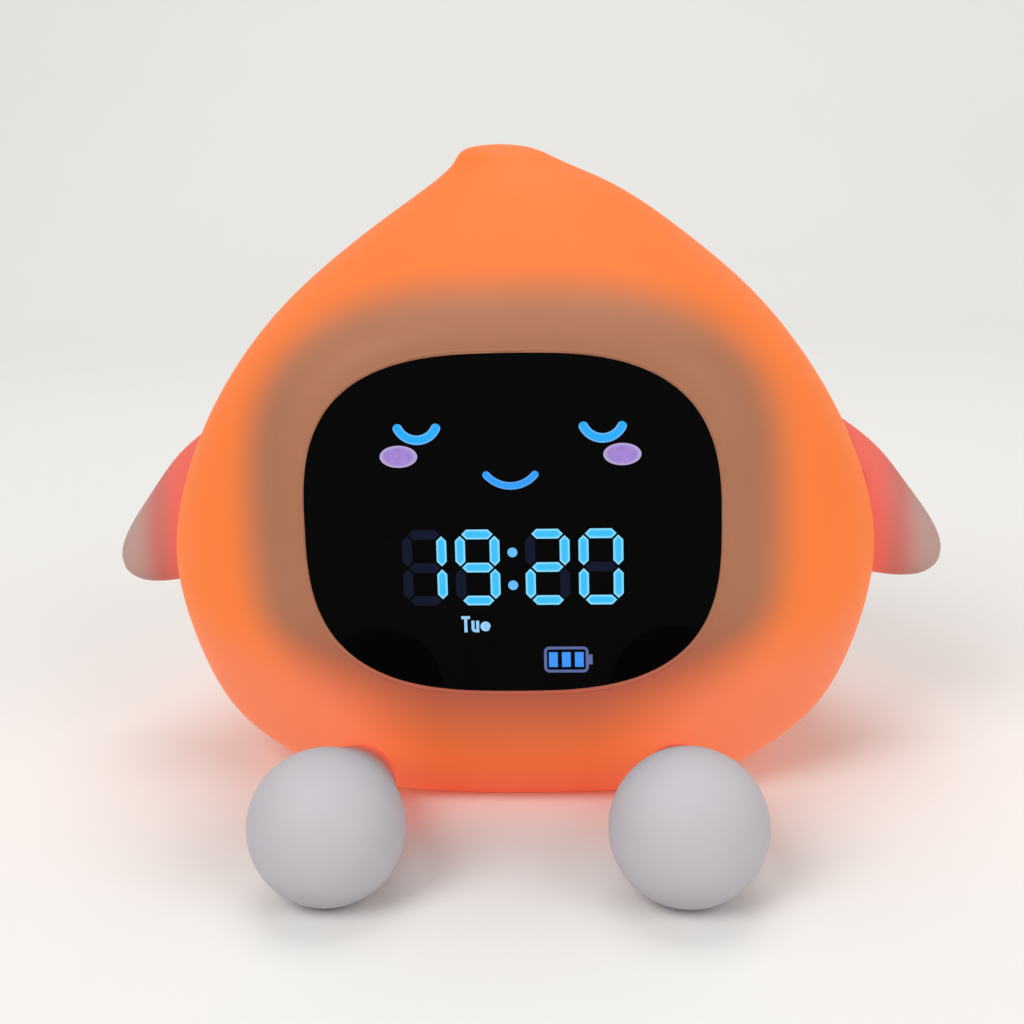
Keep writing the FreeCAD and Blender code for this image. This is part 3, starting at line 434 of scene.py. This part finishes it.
def join(target, other):
    """Adds the other object's mesh to the target's and deletes that object."""
    work = bmesh.new()
    work.from_mesh(target.data)
    work.from_mesh(other.data)
    work.to_mesh(target.data)
    work.free()
    bpy.data.objects.remove(other)


def finish_piece(piece, body, material, slot, *nodes):
    piece.data.materials.clear()
    piece.data.materials.append(material)
    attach(piece, body)
    if nodes:
        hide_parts(*nodes)


# Materials

DARK = (0.0, 0.0, 0.0, 1.0)
LENS_BLACK = (0.0005, 0.0004, 0.0006, 1.0)
GUIDE_BLACK = (0.004, 0.005, 0.009, 1.0)
STEEL_GREY = (0.55, 0.55, 0.56, 1.0)
STAGE_PALE = (0.80, 0.79, 0.77, 1.0)
GRAIN_DETAIL = 4.0
GRAIN_ROUGHNESS = 0.6
SILICONE_GRAIN_STRENGTH = 0.05
SILICONE_GRAIN_DEPTH = 0.0002
HARD_GRAIN_DEPTH = 0.0001


class Nodes:
    """Short hand for building a material's node tree."""

    SETTINGS = {"rough": "Roughness", "metal": "Metallic", "specular": "Specular IOR Level",
                "glow": "Emission Strength"}

    def __init__(self, name):
        self.material = bpy.data.materials.new(name)
        self.material.use_nodes = True
        self.tree = self.material.node_tree
        self.shader = self.tree.nodes["Principled BSDF"]

    def add(self, kind, **values):
        node = self.tree.nodes.new(kind)
        for key, value in values.items():
            setattr(node, key, value)
        return node

    def link(self, source, target):
        self.tree.links.new(source, target)

    def set(self, **values):
        for key, value in values.items():
            self.shader.inputs[self.SETTINGS[key]].default_value = value

    def base_colour(self, source):
        self.link(source, self.shader.inputs["Base Color"])

    def emitted_colour(self, source):
        self.link(source, self.shader.inputs["Emission Color"])

    def combine(self, operation, first, second=0.0, clamp=False):
        node = self.add("ShaderNodeMath", operation=operation, use_clamp=clamp)
        for socket, value in zip(node.inputs, (first, second)):
            if isinstance(value, (int, float)):
                socket.default_value = value
            else:
                self.link(value, socket)
        return node.outputs[0]

    def plus(self, first, second):
        return self.combine("ADD", first, second)

    def minus(self, first, second, clamp=False):
        return self.combine("SUBTRACT", first, second, clamp)

    def times(self, first, second):
        return self.combine("MULTIPLY", first, second)

    def over(self, first, second):
        return self.combine("DIVIDE", first, second)

    def size(self, value):
        return self.combine("ABSOLUTE", value)

    def raised(self, value, power):
        return self.combine("POWER", value, power)

    def length(self, first, second):
        squares = self.plus(self.times(first, first), self.times(second, second))
        return self.combine("SQRT", squares)

    def least(self, first, second):
        return self.combine("MINIMUM", first, second)

    def most(self, first, second):
        return self.combine("MAXIMUM", first, second)

    def spread(self, value, low, high, to_low=0.0, to_high=1.0):
        """Smooth step of a value from to_low, where it is low, to to_high, where it is high."""
        node = self.add("ShaderNodeMapRange", interpolation_type="SMOOTHSTEP")
        self.link(value, node.inputs["Value"])
        node.inputs["From Min"].default_value = low
        node.inputs["From Max"].default_value = high
        node.inputs["To Min"].default_value = to_low
        node.inputs["To Max"].default_value = to_high
        return node.outputs["Result"]

    def mix(self, factor, first, second):
        node = self.add("ShaderNodeMix", data_type="RGBA")
        self.link(factor, node.inputs["Factor"])
        for socket, value in ((node.inputs["A"], first), (node.inputs["B"], second)):
            if isinstance(value, tuple):
                socket.default_value = value
            else:
                self.link(value, socket)
        return node.outputs["Result"]

    def scaled(self, vector, factor):
        node = self.add("ShaderNodeVectorMath", operation="SCALE")
        self.link(vector, node.inputs[0])
        if isinstance(factor, float):
            node.inputs["Scale"].default_value = factor
        else:
            self.link(factor, node.inputs["Scale"])
        return node.outputs[0]

    def position(self):
        """Object coordinates in millimetres, as one vector."""
        return self.scaled(self.add("ShaderNodeTexCoord").outputs["Object"], 1 / MM)

    def coordinates(self):
        """Object coordinates in millimetres, as the sockets X, Y and Z."""
        split = self.add("ShaderNodeSeparateXYZ")
        self.link(self.position(), split.inputs[0])
        return split.outputs

    def noise(self, scale, detail=3.0, roughness=0.5):
        node = self.add("ShaderNodeTexNoise")
        node.inputs["Scale"].default_value = scale
        node.inputs["Detail"].default_value = detail
        node.inputs["Roughness"].default_value = roughness
        self.link(self.position(), node.inputs["Vector"])
        return node.outputs["Fac"]

    def grain(self, scale, strength, depth, detail=GRAIN_DETAIL):
        """Fine surface grain as bump, its depth in metres."""
        node = self.add("ShaderNodeBump")
        node.inputs["Strength"].default_value = strength
        node.inputs["Distance"].default_value = depth
        self.link(self.noise(scale, detail, GRAIN_ROUGHNESS), node.inputs["Height"])
        self.link(node.outputs["Normal"], self.shader.inputs["Normal"])


def rgb(red, green, blue):
    """A colour as an eye or a picture gives it, 0 to 255, made linear."""
    def linear(value):
        value /= 255
        return value / 12.92 if value <= 0.04045 else ((value + 0.055) / 1.055) ** 2.4
    return (linear(red), linear(green), linear(blue), 1.0)


PLAIN_GLOWS = {
    "lit_white": rgb(104, 190, 250),
    "lit_blue": rgb(64, 150, 255),
    "weekday": rgb(150, 208, 250),
    "battery_outline_dim": rgb(92, 104, 158),
    "segment_dark": rgb(8, 12, 34),
    "lamp_resin": (0.95, 0.62, 0.30, 1.0),
}
PLASTICS = {
    "black_plastic": dict(colour=rgb(34, 34, 36), rough=0.5),
    "milky_plastic": dict(colour=rgb(232, 214, 202), rough=0.4),
    "white_plastic": dict(colour=rgb(226, 224, 220), rough=0.42),
    "button_white": dict(colour=rgb(236, 234, 230), rough=0.38),
    "mark_grey": dict(colour=rgb(120, 120, 122), rough=0.6),
    "board_green": dict(colour=rgb(24, 88, 52), rough=0.35),
    "board_white": dict(colour=rgb(232, 232, 226), rough=0.35),
    "pad_rubber": dict(colour=rgb(96, 96, 98), rough=0.75, strength=0.15),
    "speaker_foam": dict(colour=rgb(40, 40, 42), rough=0.9, grain=5.0, strength=0.3),
    "cone_paper": dict(colour=rgb(52, 50, 48), rough=0.8, grain=4.0, strength=0.2),
    "cell_wrap": dict(colour=rgb(48, 110, 190), rough=0.3),
    "lead_red": dict(colour=rgb(196, 40, 32), rough=0.4),
    "ribbon_film": dict(colour=rgb(206, 150, 70), rough=0.35),
}


def vary(nodes, colour, amount, scale):
    """A colour with faint cloudy variation."""
    darker = tuple(channel * (1 - amount) for channel in colour[:3]) + (1.0,)
    lighter = tuple(min(channel * (1 + amount), 1.0) for channel in colour[:3]) + (1.0,)
    factor = nodes.spread(nodes.noise(scale), low=0.3, high=0.7)
    return nodes.mix(factor, darker, lighter)


def lens_reach(nodes, place):
    """Distance outside the lens's edge and height over its centre, in millimetres."""
    height = nodes.minus(place["Z"], LENS_CENTRE[2])
    across = nodes.raised(nodes.size(nodes.over(place["X"], LENS_HALF_WIDTH)), LENS_POWER)
    upward = nodes.raised(nodes.size(nodes.over(height, LENS_HALF_HEIGHT)), LENS_POWER)
    reach = nodes.raised(nodes.plus(across, upward), 1 / LENS_POWER)
    return nodes.times(nodes.minus(reach, 1.0), LENS_MEAN_HALF), height


def orange_silicone():
    """The cover: it glows, but for a shaded band round the lens, where the frame inside hides the lamps."""
    nodes = Nodes("orange_silicone")
    place = nodes.coordinates()
    distance, height = lens_reach(nodes, place)
    low = nodes.spread(height, *LOW_ZONE)
    high = nodes.spread(height, *HIGH_ZONE)
    corner = nodes.times(low, nodes.spread(nodes.size(place["X"]), *CORNER_ZONE))

    band_start = nodes.plus(BAND_START, nodes.times(low, BAND_START_LOW))
    band_start = nodes.plus(band_start, nodes.times(high, BAND_START_HIGH))
    band_width = nodes.plus(BAND_WIDTH, nodes.times(low, BAND_WIDTH_LOW))
    fade = nodes.over(nodes.minus(distance, band_start), band_width)
    fade = nodes.plus(fade, nodes.times(corner, BAND_CORNER))
    shaded = nodes.minus(1.0, nodes.spread(fade, low=0.0, high=1.0))
    shaded = nodes.times(shaded, nodes.spread(place["Y"], *FRONT_ZONE))
    glow = nodes.minus(1.0, shaded, clamp=True)

    # The skin's own pale tone with the glow's light painted in: tan in the shaded band beside the lens,
    # redder in the band below it, and painted orange where the skin glows
    band_beside = rgb(166, 111, 82)
    band_below = rgb(178, 88, 68)
    lit_skin = rgb(150, 76, 40)
    skin_colour = nodes.mix(glow, nodes.mix(low, band_beside, band_below), lit_skin)
    cloud = nodes.spread(nodes.noise(scale=0.05), low=0.25, high=0.75, to_low=0.96, to_high=1.04)
    nodes.base_colour(nodes.scaled(skin_colour, cloud))

    lit_at_floor = (0.56, 0.065, 0.026, 1.0)
    lit_above = (0.65, 0.135, 0.016, 1.0)
    lit_at_corner = (0.62, 0.150, 0.070, 1.0)
    lit = nodes.mix(nodes.spread(place["Z"], *FLOOR_ZONE), lit_at_floor, lit_above)
    lit = nodes.mix(corner, lit, lit_at_corner)
    nodes.emitted_colour(nodes.mix(glow, DARK, lit))
    nodes.set(rough=0.55, specular=0.2, glow=1.0)
    nodes.grain(scale=3.2, strength=SILICONE_GRAIN_STRENGTH, depth=SILICONE_GRAIN_DEPTH)
    return nodes.material


def white_silicone(name, pale_colour, glow_fade, axis):
    """White silicone with the body's glow painted on as light, in its colour and as emission, fading along
    an axis, in millimetres.
    """
    nodes = Nodes(name)
    glow_full_end, glow_gone_end = glow_fade
    glow_reach = nodes.spread(nodes.size(nodes.coordinates()[axis]), glow_gone_end, glow_full_end)
    # Painted light from the body's glow: full near the body, fading towards the far end
    middle = nodes.spread(glow_reach, low=0.0, high=0.55)
    glow_near = nodes.spread(glow_reach, low=0.5, high=1.0)
    pale = vary(nodes, pale_colour, amount=0.02, scale=0.08)
    # Painted glow light: redder colours and a faint emission where the arm or leg is near the body
    painted_glow_mid_colour = rgb(186, 112, 104)
    painted_glow_near_colour = rgb(184, 92, 80)
    painted_glow_mid_light = (0.10, 0.015, 0.010, 1.0)
    painted_glow_near_light = (0.36, 0.045, 0.034, 1.0)
    nodes.base_colour(nodes.mix(glow_near, nodes.mix(middle, pale, painted_glow_mid_colour), painted_glow_near_colour))
    nodes.emitted_colour(nodes.mix(glow_near, nodes.mix(middle, DARK, painted_glow_mid_light), painted_glow_near_light))
    nodes.set(rough=0.6, specular=0.3, glow=1.0)
    nodes.grain(scale=3.0, strength=SILICONE_GRAIN_STRENGTH, depth=SILICONE_GRAIN_DEPTH)
    return nodes.material


def black_lens():
    nodes = Nodes("black_lens")
    nodes.base_colour(vary(nodes, LENS_BLACK, amount=0.2, scale=0.1))
    nodes.set(rough=0.035, specular=0.035)
    return nodes.material


def glowing(name):
    """A lit light guide, without its colour."""
    nodes = Nodes(name)
    nodes.shader.inputs["Base Color"].default_value = GUIDE_BLACK
    nodes.set(rough=0.06, specular=0.035, glow=1.0)
    return nodes


def plain_glow(name, colour):
    nodes = glowing(name)
    nodes.emitted_colour(vary(nodes, colour, amount=0.05, scale=0.9))
    return nodes.material


def arc_glow(name, centres, radius, stroke, core, edge):
    """Lit arc whose middle is deeper in colour than its edges, round the nearest of the centres."""
    nodes = glowing(name)
    place = nodes.coordinates()
    nearest = None
    for x, height in centres:
        across = nodes.minus(place["X"], x)
        upward = nodes.minus(place["Z"], LENS_CENTRE[2] + height)
        off_line = nodes.size(nodes.minus(nodes.length(across, upward), radius))
        share = nodes.over(off_line, stroke / 2)
        nearest = share if nearest is None else nodes.least(nearest, share)
    nodes.emitted_colour(nodes.mix(nodes.spread(nearest, *ARC_EDGE), core, edge))
    return nodes.material


def digit_glow(core, edge):
    """Lit bars of the digits, paler along their edges. All bars are folded into a quarter of one digit."""
    nodes = glowing("digits")
    place = nodes.coordinates()
    aside = None
    for centre in DIGIT_PLACES:
        away = nodes.size(nodes.minus(place["X"], centre))
        aside = away if aside is None else nodes.least(aside, away)
    up = nodes.size(nodes.minus(place["Z"], LENS_CENTRE[2] + DIGIT_MIDDLE))
    half_width = (DIGIT_WIDTH - SEGMENT_WIDTH) / 2
    half_height = (DIGIT_HEIGHT - SEGMENT_WIDTH) / 2

    slant = math.sqrt(0.5)

    def depth(across, run):
        """How deep a point lies in a bar with 45 degree ends, from its place across and along the bar."""
        across = nodes.size(across)
        side = nodes.minus(SEGMENT_WIDTH / 2, across)
        end = nodes.minus(nodes.minus(run, SEGMENT_GAP), across)
        return nodes.least(side, nodes.times(end, slant))

    run_across = nodes.minus(half_width, aside)
    run_up = nodes.least(up, nodes.minus(half_height, up))
    outer_bar = depth(nodes.minus(up, half_height), run_across)
    middle_bar = depth(up, run_across)
    upright_bar = depth(nodes.minus(aside, half_width), run_up)
    deepest = nodes.most(nodes.most(outer_bar, middle_bar), upright_bar)
    nodes.emitted_colour(nodes.mix(nodes.spread(deepest, *SEGMENT_EDGE), core, edge))
    return nodes.material


def cheek_glow():
    nodes = glowing("cheek_glow")
    place = nodes.coordinates()
    aside = nodes.minus(nodes.size(place["X"]), CHEEK_SPACING)
    up = nodes.minus(place["Z"], LENS_CENTRE[2] + CHEEK_HEIGHT)
    reach = nodes.length(nodes.over(aside, CHEEK_HALF_WIDTH), nodes.over(up, CHEEK_HALF_HEIGHT))
    core = vary(nodes, rgb(164, 134, 212), amount=0.08, scale=1.2)
    nodes.emitted_colour(nodes.mix(nodes.spread(reach, *CHEEK_EDGE), core, rgb(186, 170, 214)))
    return nodes.material


def plastic(name, colour, rough, grain=2.5, strength=0.06):
    nodes = Nodes(name)
    nodes.base_colour(vary(nodes, colour, amount=0.03, scale=0.12))
    nodes.set(rough=rough, specular=0.4)
    nodes.grain(scale=grain, strength=strength, depth=HARD_GRAIN_DEPTH)
    return nodes.material


def metal(name, colour, rough):
    nodes = Nodes(name)
    nodes.base_colour(vary(nodes, colour, amount=0.06, scale=0.5))
    nodes.set(rough=rough, metal=1.0)
    nodes.grain(scale=6.0, strength=0.04, depth=HARD_GRAIN_DEPTH, detail=3.0)
    return nodes.material


def make_materials():
    eyes = [(side * EYE_SPACING, EYE_LOW + EYE_RADIUS) for side in (-1, 1)]
    mouth = [(0.0, MOUTH_LOW + MOUTH_RADIUS)]
    made = {
        "orange_silicone": orange_silicone(),
        # The arm's pale colour is pinker than the leg's: the body's glow is painted into it out to the tip
        "arm_silicone": white_silicone("arm_silicone", rgb(184, 150, 142), ARM_GLOW_FADE, "X"),
        "leg_silicone": white_silicone("leg_silicone", rgb(186, 182, 187), LEG_GLOW_FADE, "Y"),
        "black_lens": black_lens(),
        "digits": digit_glow(rgb(62, 192, 248), rgb(136, 222, 255)),
        "eyes": arc_glow("eyes", eyes, EYE_RADIUS, EYE_STROKE, rgb(40, 172, 250), rgb(110, 182, 250)),
        "mouth": arc_glow("mouth", mouth, MOUTH_RADIUS, MOUTH_STROKE, rgb(46, 158, 250), rgb(100, 168, 245)),
        "cheek_glow": cheek_glow(),
        "steel": metal("steel", STEEL_GREY, rough=0.3),
    }
    made.update({name: plain_glow(name, colour) for name, colour in PLAIN_GLOWS.items()})
    made.update({name: plastic(name, **look) for name, look in PLASTICS.items()})
    return made


def dress_nodes(materials):
    """Gives every shown CAD node a material made here."""
    special = {"eye_guides": "eyes", "mouth_guide": "mouth", "weekday_guides": "weekday"}
    slots = {row["node"]: row["material_slot"] for row in record["subparts"]}
    for name, node in frame["nodes"].items():
        kind = special.get(name, slots.get(name))
        if name.startswith("button_"):
            kind = "button_white"
        if name.startswith("digit_"):
            kind = "digits"
        if kind in ("white_silicone", "orange_silicone"):
            continue
        for index in range(len(node.data.materials)):
            node.data.materials[index] = materials[kind]


# Pieces


def make_cover(material):
    """The cover's skin with its hollow, its openings and the soft rim round the lens."""
    skin = object_from_rings("silicone_skin", drop_rings(0.0, True))
    hollow = object_from_rings("hollow", drop_rings(SKIN, False))
    collar = prism("collar", lens_outline(COLLAR_ROOM), COLLAR_BACK, LIP_BACK, LENS_FRAME)
    sight = prism("sight", lens_outline(RIM_GAP), LIP_BACK, SIGHT_FRONT, LENS_FRAME)
    panel_turn = Matrix.Translation(Vector((0, 0, PANEL_CENTRE))) @ Matrix.Rotation(math.radians(90), 4, "X")
    panel_outline = rounded_rectangle(PANEL_HALF_WIDTH + PANEL_ROOM, PANEL_HALF_HEIGHT + PANEL_ROOM,
                                      PANEL_CORNER + PANEL_ROOM, PANEL_CORNER_STEPS)
    panel = prism("panel", panel_outline, *PANEL_CUT, panel_turn)
    base_outline = superellipse(BASE_HALF_WIDTH, BASE_FRONT, BASE_BACK, BODY_POWER, BASE_SIDES)
    base = prism("base", base_outline, -BASE_CUT_SPARE, SKIN + BASE_CUT_SPARE)
    cut(skin, hollow, collar, sight, panel, base)
    join(skin, rim_bead(lens_outline(RIM_GAP), RIM_RISE - RIM_RADIUS + RIM_PROUD))
    set_smooth(skin)
    finish_piece(skin, HOUSING, material, "orange_silicone", "silicone_cover")


def rim_bead(outline, height):
    """Soft round edge that runs along an outline, in the lens's axes."""
    count = len(outline)
    verts = []
    for index, (x, y) in enumerate(outline):
        before = outline[index - 1]
        after = outline[(index + 1) % count]
        tangent = Vector((after[0] - before[0], after[1] - before[1], 0)).normalized()
        outward = Vector((tangent.y, -tangent.x, 0))
        middle = Vector((x, y, height)) + outward * RIM_RADIUS
        for angle in turn_angles(RIM_SIDES):
            offset = outward * math.cos(angle) + Vector((0, 0, 1)) * math.sin(angle)
            verts.append(LENS_FRAME @ (middle + offset * RIM_RADIUS) * MM)
    faces = []
    for index in range(count):
        here = index * RIM_SIDES
        following = (index + 1) % count * RIM_SIDES
        for step in range(RIM_SIDES):
            turned = (step + 1) % RIM_SIDES
            faces.append((here + step, following + step, following + turned, here + turned))
    mesh = bpy.data.meshes.new("rim")
    mesh.from_pydata([tuple(vert) for vert in verts], [], faces)
    return object_from_mesh("rim", mesh)


def leg_profile(length):
    """Distance along the leg and radius, from the toe's ball backwards into the body."""
    profile = []
    for ring in range(1, FOOT_RINGS + 1):
        angle = math.radians(180 - ring * FOOT_RING_DEGREES)
        profile.append((FOOT_RADIUS * math.cos(angle), FOOT_RADIUS * math.sin(angle)))
    start = profile[-1][0]
    slope = (FOOT_RADIUS - LEG_SUNK - LEG_ROOT_RADIUS) / length
    for ring in range(1, LEG_RINGS + 1):
        along = start + (length + LEG_REACH - start) * ring / LEG_RINGS
        cone = FOOT_RADIUS - LEG_SUNK - slope * along
        ball = math.sqrt(max(FOOT_RADIUS ** 2 - along ** 2, 0.0))
        profile.append((along, max(cone, ball)))
    return profile


def leg_rings(side):
    """Rings of a round foot that tapers into a leg, flattened where it would go under the floor."""
    centre = Vector(FOOT_CENTRE)
    axis = Vector(LEG_ROOT) - centre
    length = axis.length
    axis.normalize()
    across = axis.cross(Vector((0, 0, 1))).normalized()
    upward = across.cross(axis)
    rings = []
    for along, radius in leg_profile(length):
        ring = []
        for angle in turn_angles(LEG_SIDES):
            point = centre + axis * along + (across * math.cos(angle) + upward * math.sin(angle)) * radius
            point.z = max(point.z, 0.0)
            point.x *= side
            ring.append(point)
        rings.append(ring if side > 0 else list(reversed(ring)))
    return rings


def arm_rings(side):
    """Rings of a flat flipper that droops from the body's side."""
    root = Vector((ARM_ROOT[0], ARM_DEPTH, ARM_ROOT[1]))
    along = Vector((ARM_DIRECTION[0], 0, ARM_DIRECTION[1]))
    across = Vector((-ARM_DIRECTION[1], 0, ARM_DIRECTION[0]))
    through = Vector((0, 1, 0))
    rings = []
    for distance, half_width, half_thickness in spline_rows(ARM_STATIONS, ARM_RINGS_PER_SPAN):
        ring = []
        for angle in turn_angles(ARM_SIDES):
            point = root + along * distance
            point += across * half_width * math.cos(angle) + through * half_thickness * math.sin(angle)
            point.x *= side
            ring.append(point)
        rings.append(ring if side < 0 else list(reversed(ring)))
    return rings


def make_limb(kind, side, rings, material):
    """A soft leg or arm, trimmed where it meets the drop."""
    hand = "right" if side > 0 else "left"
    piece = object_from_rings(kind + "_soft_" + hand, rings)
    cut(piece, object_from_rings("block", drop_rings(0.0, False)))
    set_smooth(piece)
    finish_piece(piece, HOUSING, material, "white_silicone", kind + "_" + hand)


# Printed signs


def ring_stroke(points):
    """A closed printed line along a run of points, as its two outlines."""
    outlines = []
    for shift in (MARK_LINE / 2, -MARK_LINE / 2):
        outline = []
        for index, (x, z) in enumerate(points):
            before = points[index - 1]
            after = points[(index + 1) % len(points)]
            run = (after[0] - before[0], after[1] - before[1])
            length = math.hypot(*run)
            outline.append((x - shift * run[1] / length, z + shift * run[0] / length))
        outlines.append(outline)
    return outlines


def bar(x0, z0, x1, z1):
    """Outline of a straight printed line with round ends."""
    direction = math.atan2(z1 - z0, x1 - x0)
    outline = []
    for x, z, start in ((x0, z0, direction + math.pi / 2), (x1, z1, direction - math.pi / 2)):
        for step in range(BAR_END_STEPS + 1):
            angle = start + math.pi * step / BAR_END_STEPS
            outline.append((x + MARK_LINE / 2 * math.cos(angle), z + MARK_LINE / 2 * math.sin(angle)))
    return outline


def arc_points(centre, radius, start, end, steps=ARC_STEPS):
    """Points of an arc, angles in degrees, without its last point for a full turn."""
    full = abs(end - start) >= 360
    points = []
    for step in range(steps if full else steps + 1):
        angle = math.radians(start + (end - start) * step / steps)
        points.append((centre[0] + radius * math.cos(angle), centre[1] + radius * math.sin(angle)))
    return points


def disc(centre, radius):
    return arc_points(centre, radius, 0, 360)


def band_faces(work, first, second):
    """Quads between two loops of corners."""
    for step in range(len(first)):
        following = (step + 1) % len(first)
        work.faces.new((first[step], first[following], second[following], second[step]))


def make_mark(name, body, place, outlines, face, material):
    """Printed mark on the rear: flat outlines seen from behind, one thin prism each."""
    work = bmesh.new()
    for outline in outlines:
        loops = outline if isinstance(outline[0], list) else [outline]
        levels = []
        for depth in (face - MARK_SINK, face + MARK_THICKNESS):
            levels.append([[work.verts.new(((place[0] - x) * MM, depth * MM, (place[1] + z) * MM))
                            for x, z in loop] for loop in loops])
        for bottom, top in zip(*levels):
            band_faces(work, bottom, top)
        for level in levels:
            if len(level) == 1:
                work.faces.new(level[0])
            else:
                band_faces(work, level[0], level[1])
    bmesh.ops.recalc_face_normals(work, faces=work.faces)
    mesh = bpy.data.meshes.new(name)
    work.to_mesh(mesh)
    work.free()
    piece = object_from_mesh(name, mesh, smooth=False)
    finish_piece(piece, body, material, "black_plastic")


def make_marks(material):
    """Plain signs on the buttons and at the power switch."""
    rays = []
    for angle in turn_angles(RAY_COUNT):
        x, z = math.cos(angle), math.sin(angle)
        rays.append(bar(RAY_START * x, RAY_START * z, RAY_END * x, RAY_END * z))
    bell = BELL_FLANK + arc_points(BELL_CROWN, BELL_RADIUS, 180, 0, BELL_STEPS)
    bell += [(-x, z) for x, z in reversed(BELL_FLANK)]
    level_bar = bar(-SIGN_REACH, 0.0, SIGN_REACH, 0.0)
    signs = {
        "mode": [bar(-SIGN_REACH, z, SIGN_REACH, z) for z in (SIGN_LINE_STEP, 0.0, -SIGN_LINE_STEP)],
        "alarm": [ring_stroke(bell), disc(CLAPPER_PLACE, CLAPPER_RADIUS),
                  disc(BELL_TOP_PLACE, BELL_TOP_RADIUS)],
        "light": [ring_stroke(disc((0, 0), SUN_RADIUS))] + rays,
        "up": [level_bar, bar(0.0, PLUS_GAP, 0.0, SIGN_REACH), bar(0.0, -SIGN_REACH, 0.0, -PLUS_GAP)],
        "down": [level_bar],
    }
    for name, outlines in signs.items():
        make_mark("mark_" + name, "button_" + name, BUTTON_PLACES[name], outlines, BUTTON_TOP, material)
    off_sign = [ring_stroke(disc((0, 0), OFF_RADIUS))]
    on_sign = [bar(0, -ON_REACH, 0, ON_REACH)]
    x, z = SWITCH_PLACE
    z += SWITCH_SIGN_LIFT
    make_mark("mark_switch_off", HOUSING, (x - SWITCH_SIGN_SPACING, z), off_sign, PANEL_FACE, material)
    make_mark("mark_switch_on", HOUSING, (x + SWITCH_SIGN_SPACING, z), on_sign, PANEL_FACE, material)


# Stage, lights and camera


def make_stage():
    """A pale floor that bends up into a backdrop."""
    profile = [(STAGE_FRONT, 0.0)]
    for step in range(STAGE_BEND_STEPS + 1):
        angle = math.pi / 2 * step / STAGE_BEND_STEPS
        profile.append((STAGE_BEND_START + STAGE_BEND_RADIUS * math.sin(angle),
                        STAGE_BEND_RADIUS - STAGE_BEND_RADIUS * math.cos(angle)))
    profile.append((STAGE_BEND_START + STAGE_BEND_RADIUS, STAGE_TOP))
    verts = [(x, y, z) for y, z in profile for x in (-STAGE_HALF_WIDTH, STAGE_HALF_WIDTH)]
    faces = [(2 * i, 2 * i + 1, 2 * i + 3, 2 * i + 2) for i in range(len(profile) - 1)]
    mesh = bpy.data.meshes.new("floor")
    mesh.from_pydata(verts, [], faces)
    floor = object_from_mesh("floor", mesh)
    nodes = Nodes("stage_pale")
    nodes.base_colour(vary(nodes, STAGE_PALE, amount=0.01, scale=0.004))
    nodes.set(rough=0.8, specular=0.2)
    floor.data.materials.append(nodes.material)


def make_lights():
    """Three soft lamps aimed at the body, and an even white surround."""
    for name, (place, size, power) in LIGHTS.items():
        data = bpy.data.lights.new(name, "AREA")
        data.shape = "DISK"
        data.size = size
        data.energy = power
        lamp = bpy.data.objects.new(name, data)
        lamp.location = place
        lamp.rotation_euler = (LIGHT_AIM - place).to_track_quat("-Z", "Y").to_euler()
        bpy.context.scene.collection.objects.link(lamp)
    world = bpy.context.scene.world or bpy.data.worlds.new("world")
    bpy.context.scene.world = world
    world.use_nodes = True
    background = world.node_tree.nodes["Background"]
    background.inputs["Color"].default_value = (1.0, 1.0, 1.0, 1.0)
    background.inputs["Strength"].default_value = SURROUND_STRENGTH


def make_camera():
    azimuth = math.radians(CAMERA_AZIMUTH)
    elevation = math.radians(CAMERA_ELEVATION)
    roll = math.radians(CAMERA_ROLL)
    back = Vector((math.sin(azimuth) * math.cos(elevation), -math.cos(azimuth) * math.cos(elevation),
                   math.sin(elevation)))
    right = (-back).cross(Vector((0, 0, 1))).normalized()
    up = right.cross(-back)
    right_rolled = right * math.cos(roll) - up * math.sin(roll)
    up_rolled = right * math.sin(roll) + up * math.cos(roll)
    data = bpy.data.cameras.new("camera")
    data.lens = CAMERA_LENS
    data.sensor_width = CAMERA_SENSOR
    data.clip_start = CAMERA_NEAREST
    camera = bpy.data.objects.new("camera", data)
    turn = Matrix((right_rolled, up_rolled, back)).transposed().to_4x4()
    camera.matrix_world = Matrix.Translation(CAMERA_TARGET + back * CAMERA_DISTANCE) @ turn
    bpy.context.scene.collection.objects.link(camera)
    bpy.context.scene.camera = camera


materials = make_materials()
dress_nodes(materials)
make_cover(materials["orange_silicone"])
for side in (-1, 1):
    make_limb("leg", side, leg_rings(side), materials["leg_silicone"])
    make_limb("arm", side, arm_rings(side), materials["arm_silicone"])
make_marks(materials["mark_grey"])
make_stage()
make_lights()
make_camera()
bpy.context.scene.view_settings.view_transform = "Standard"
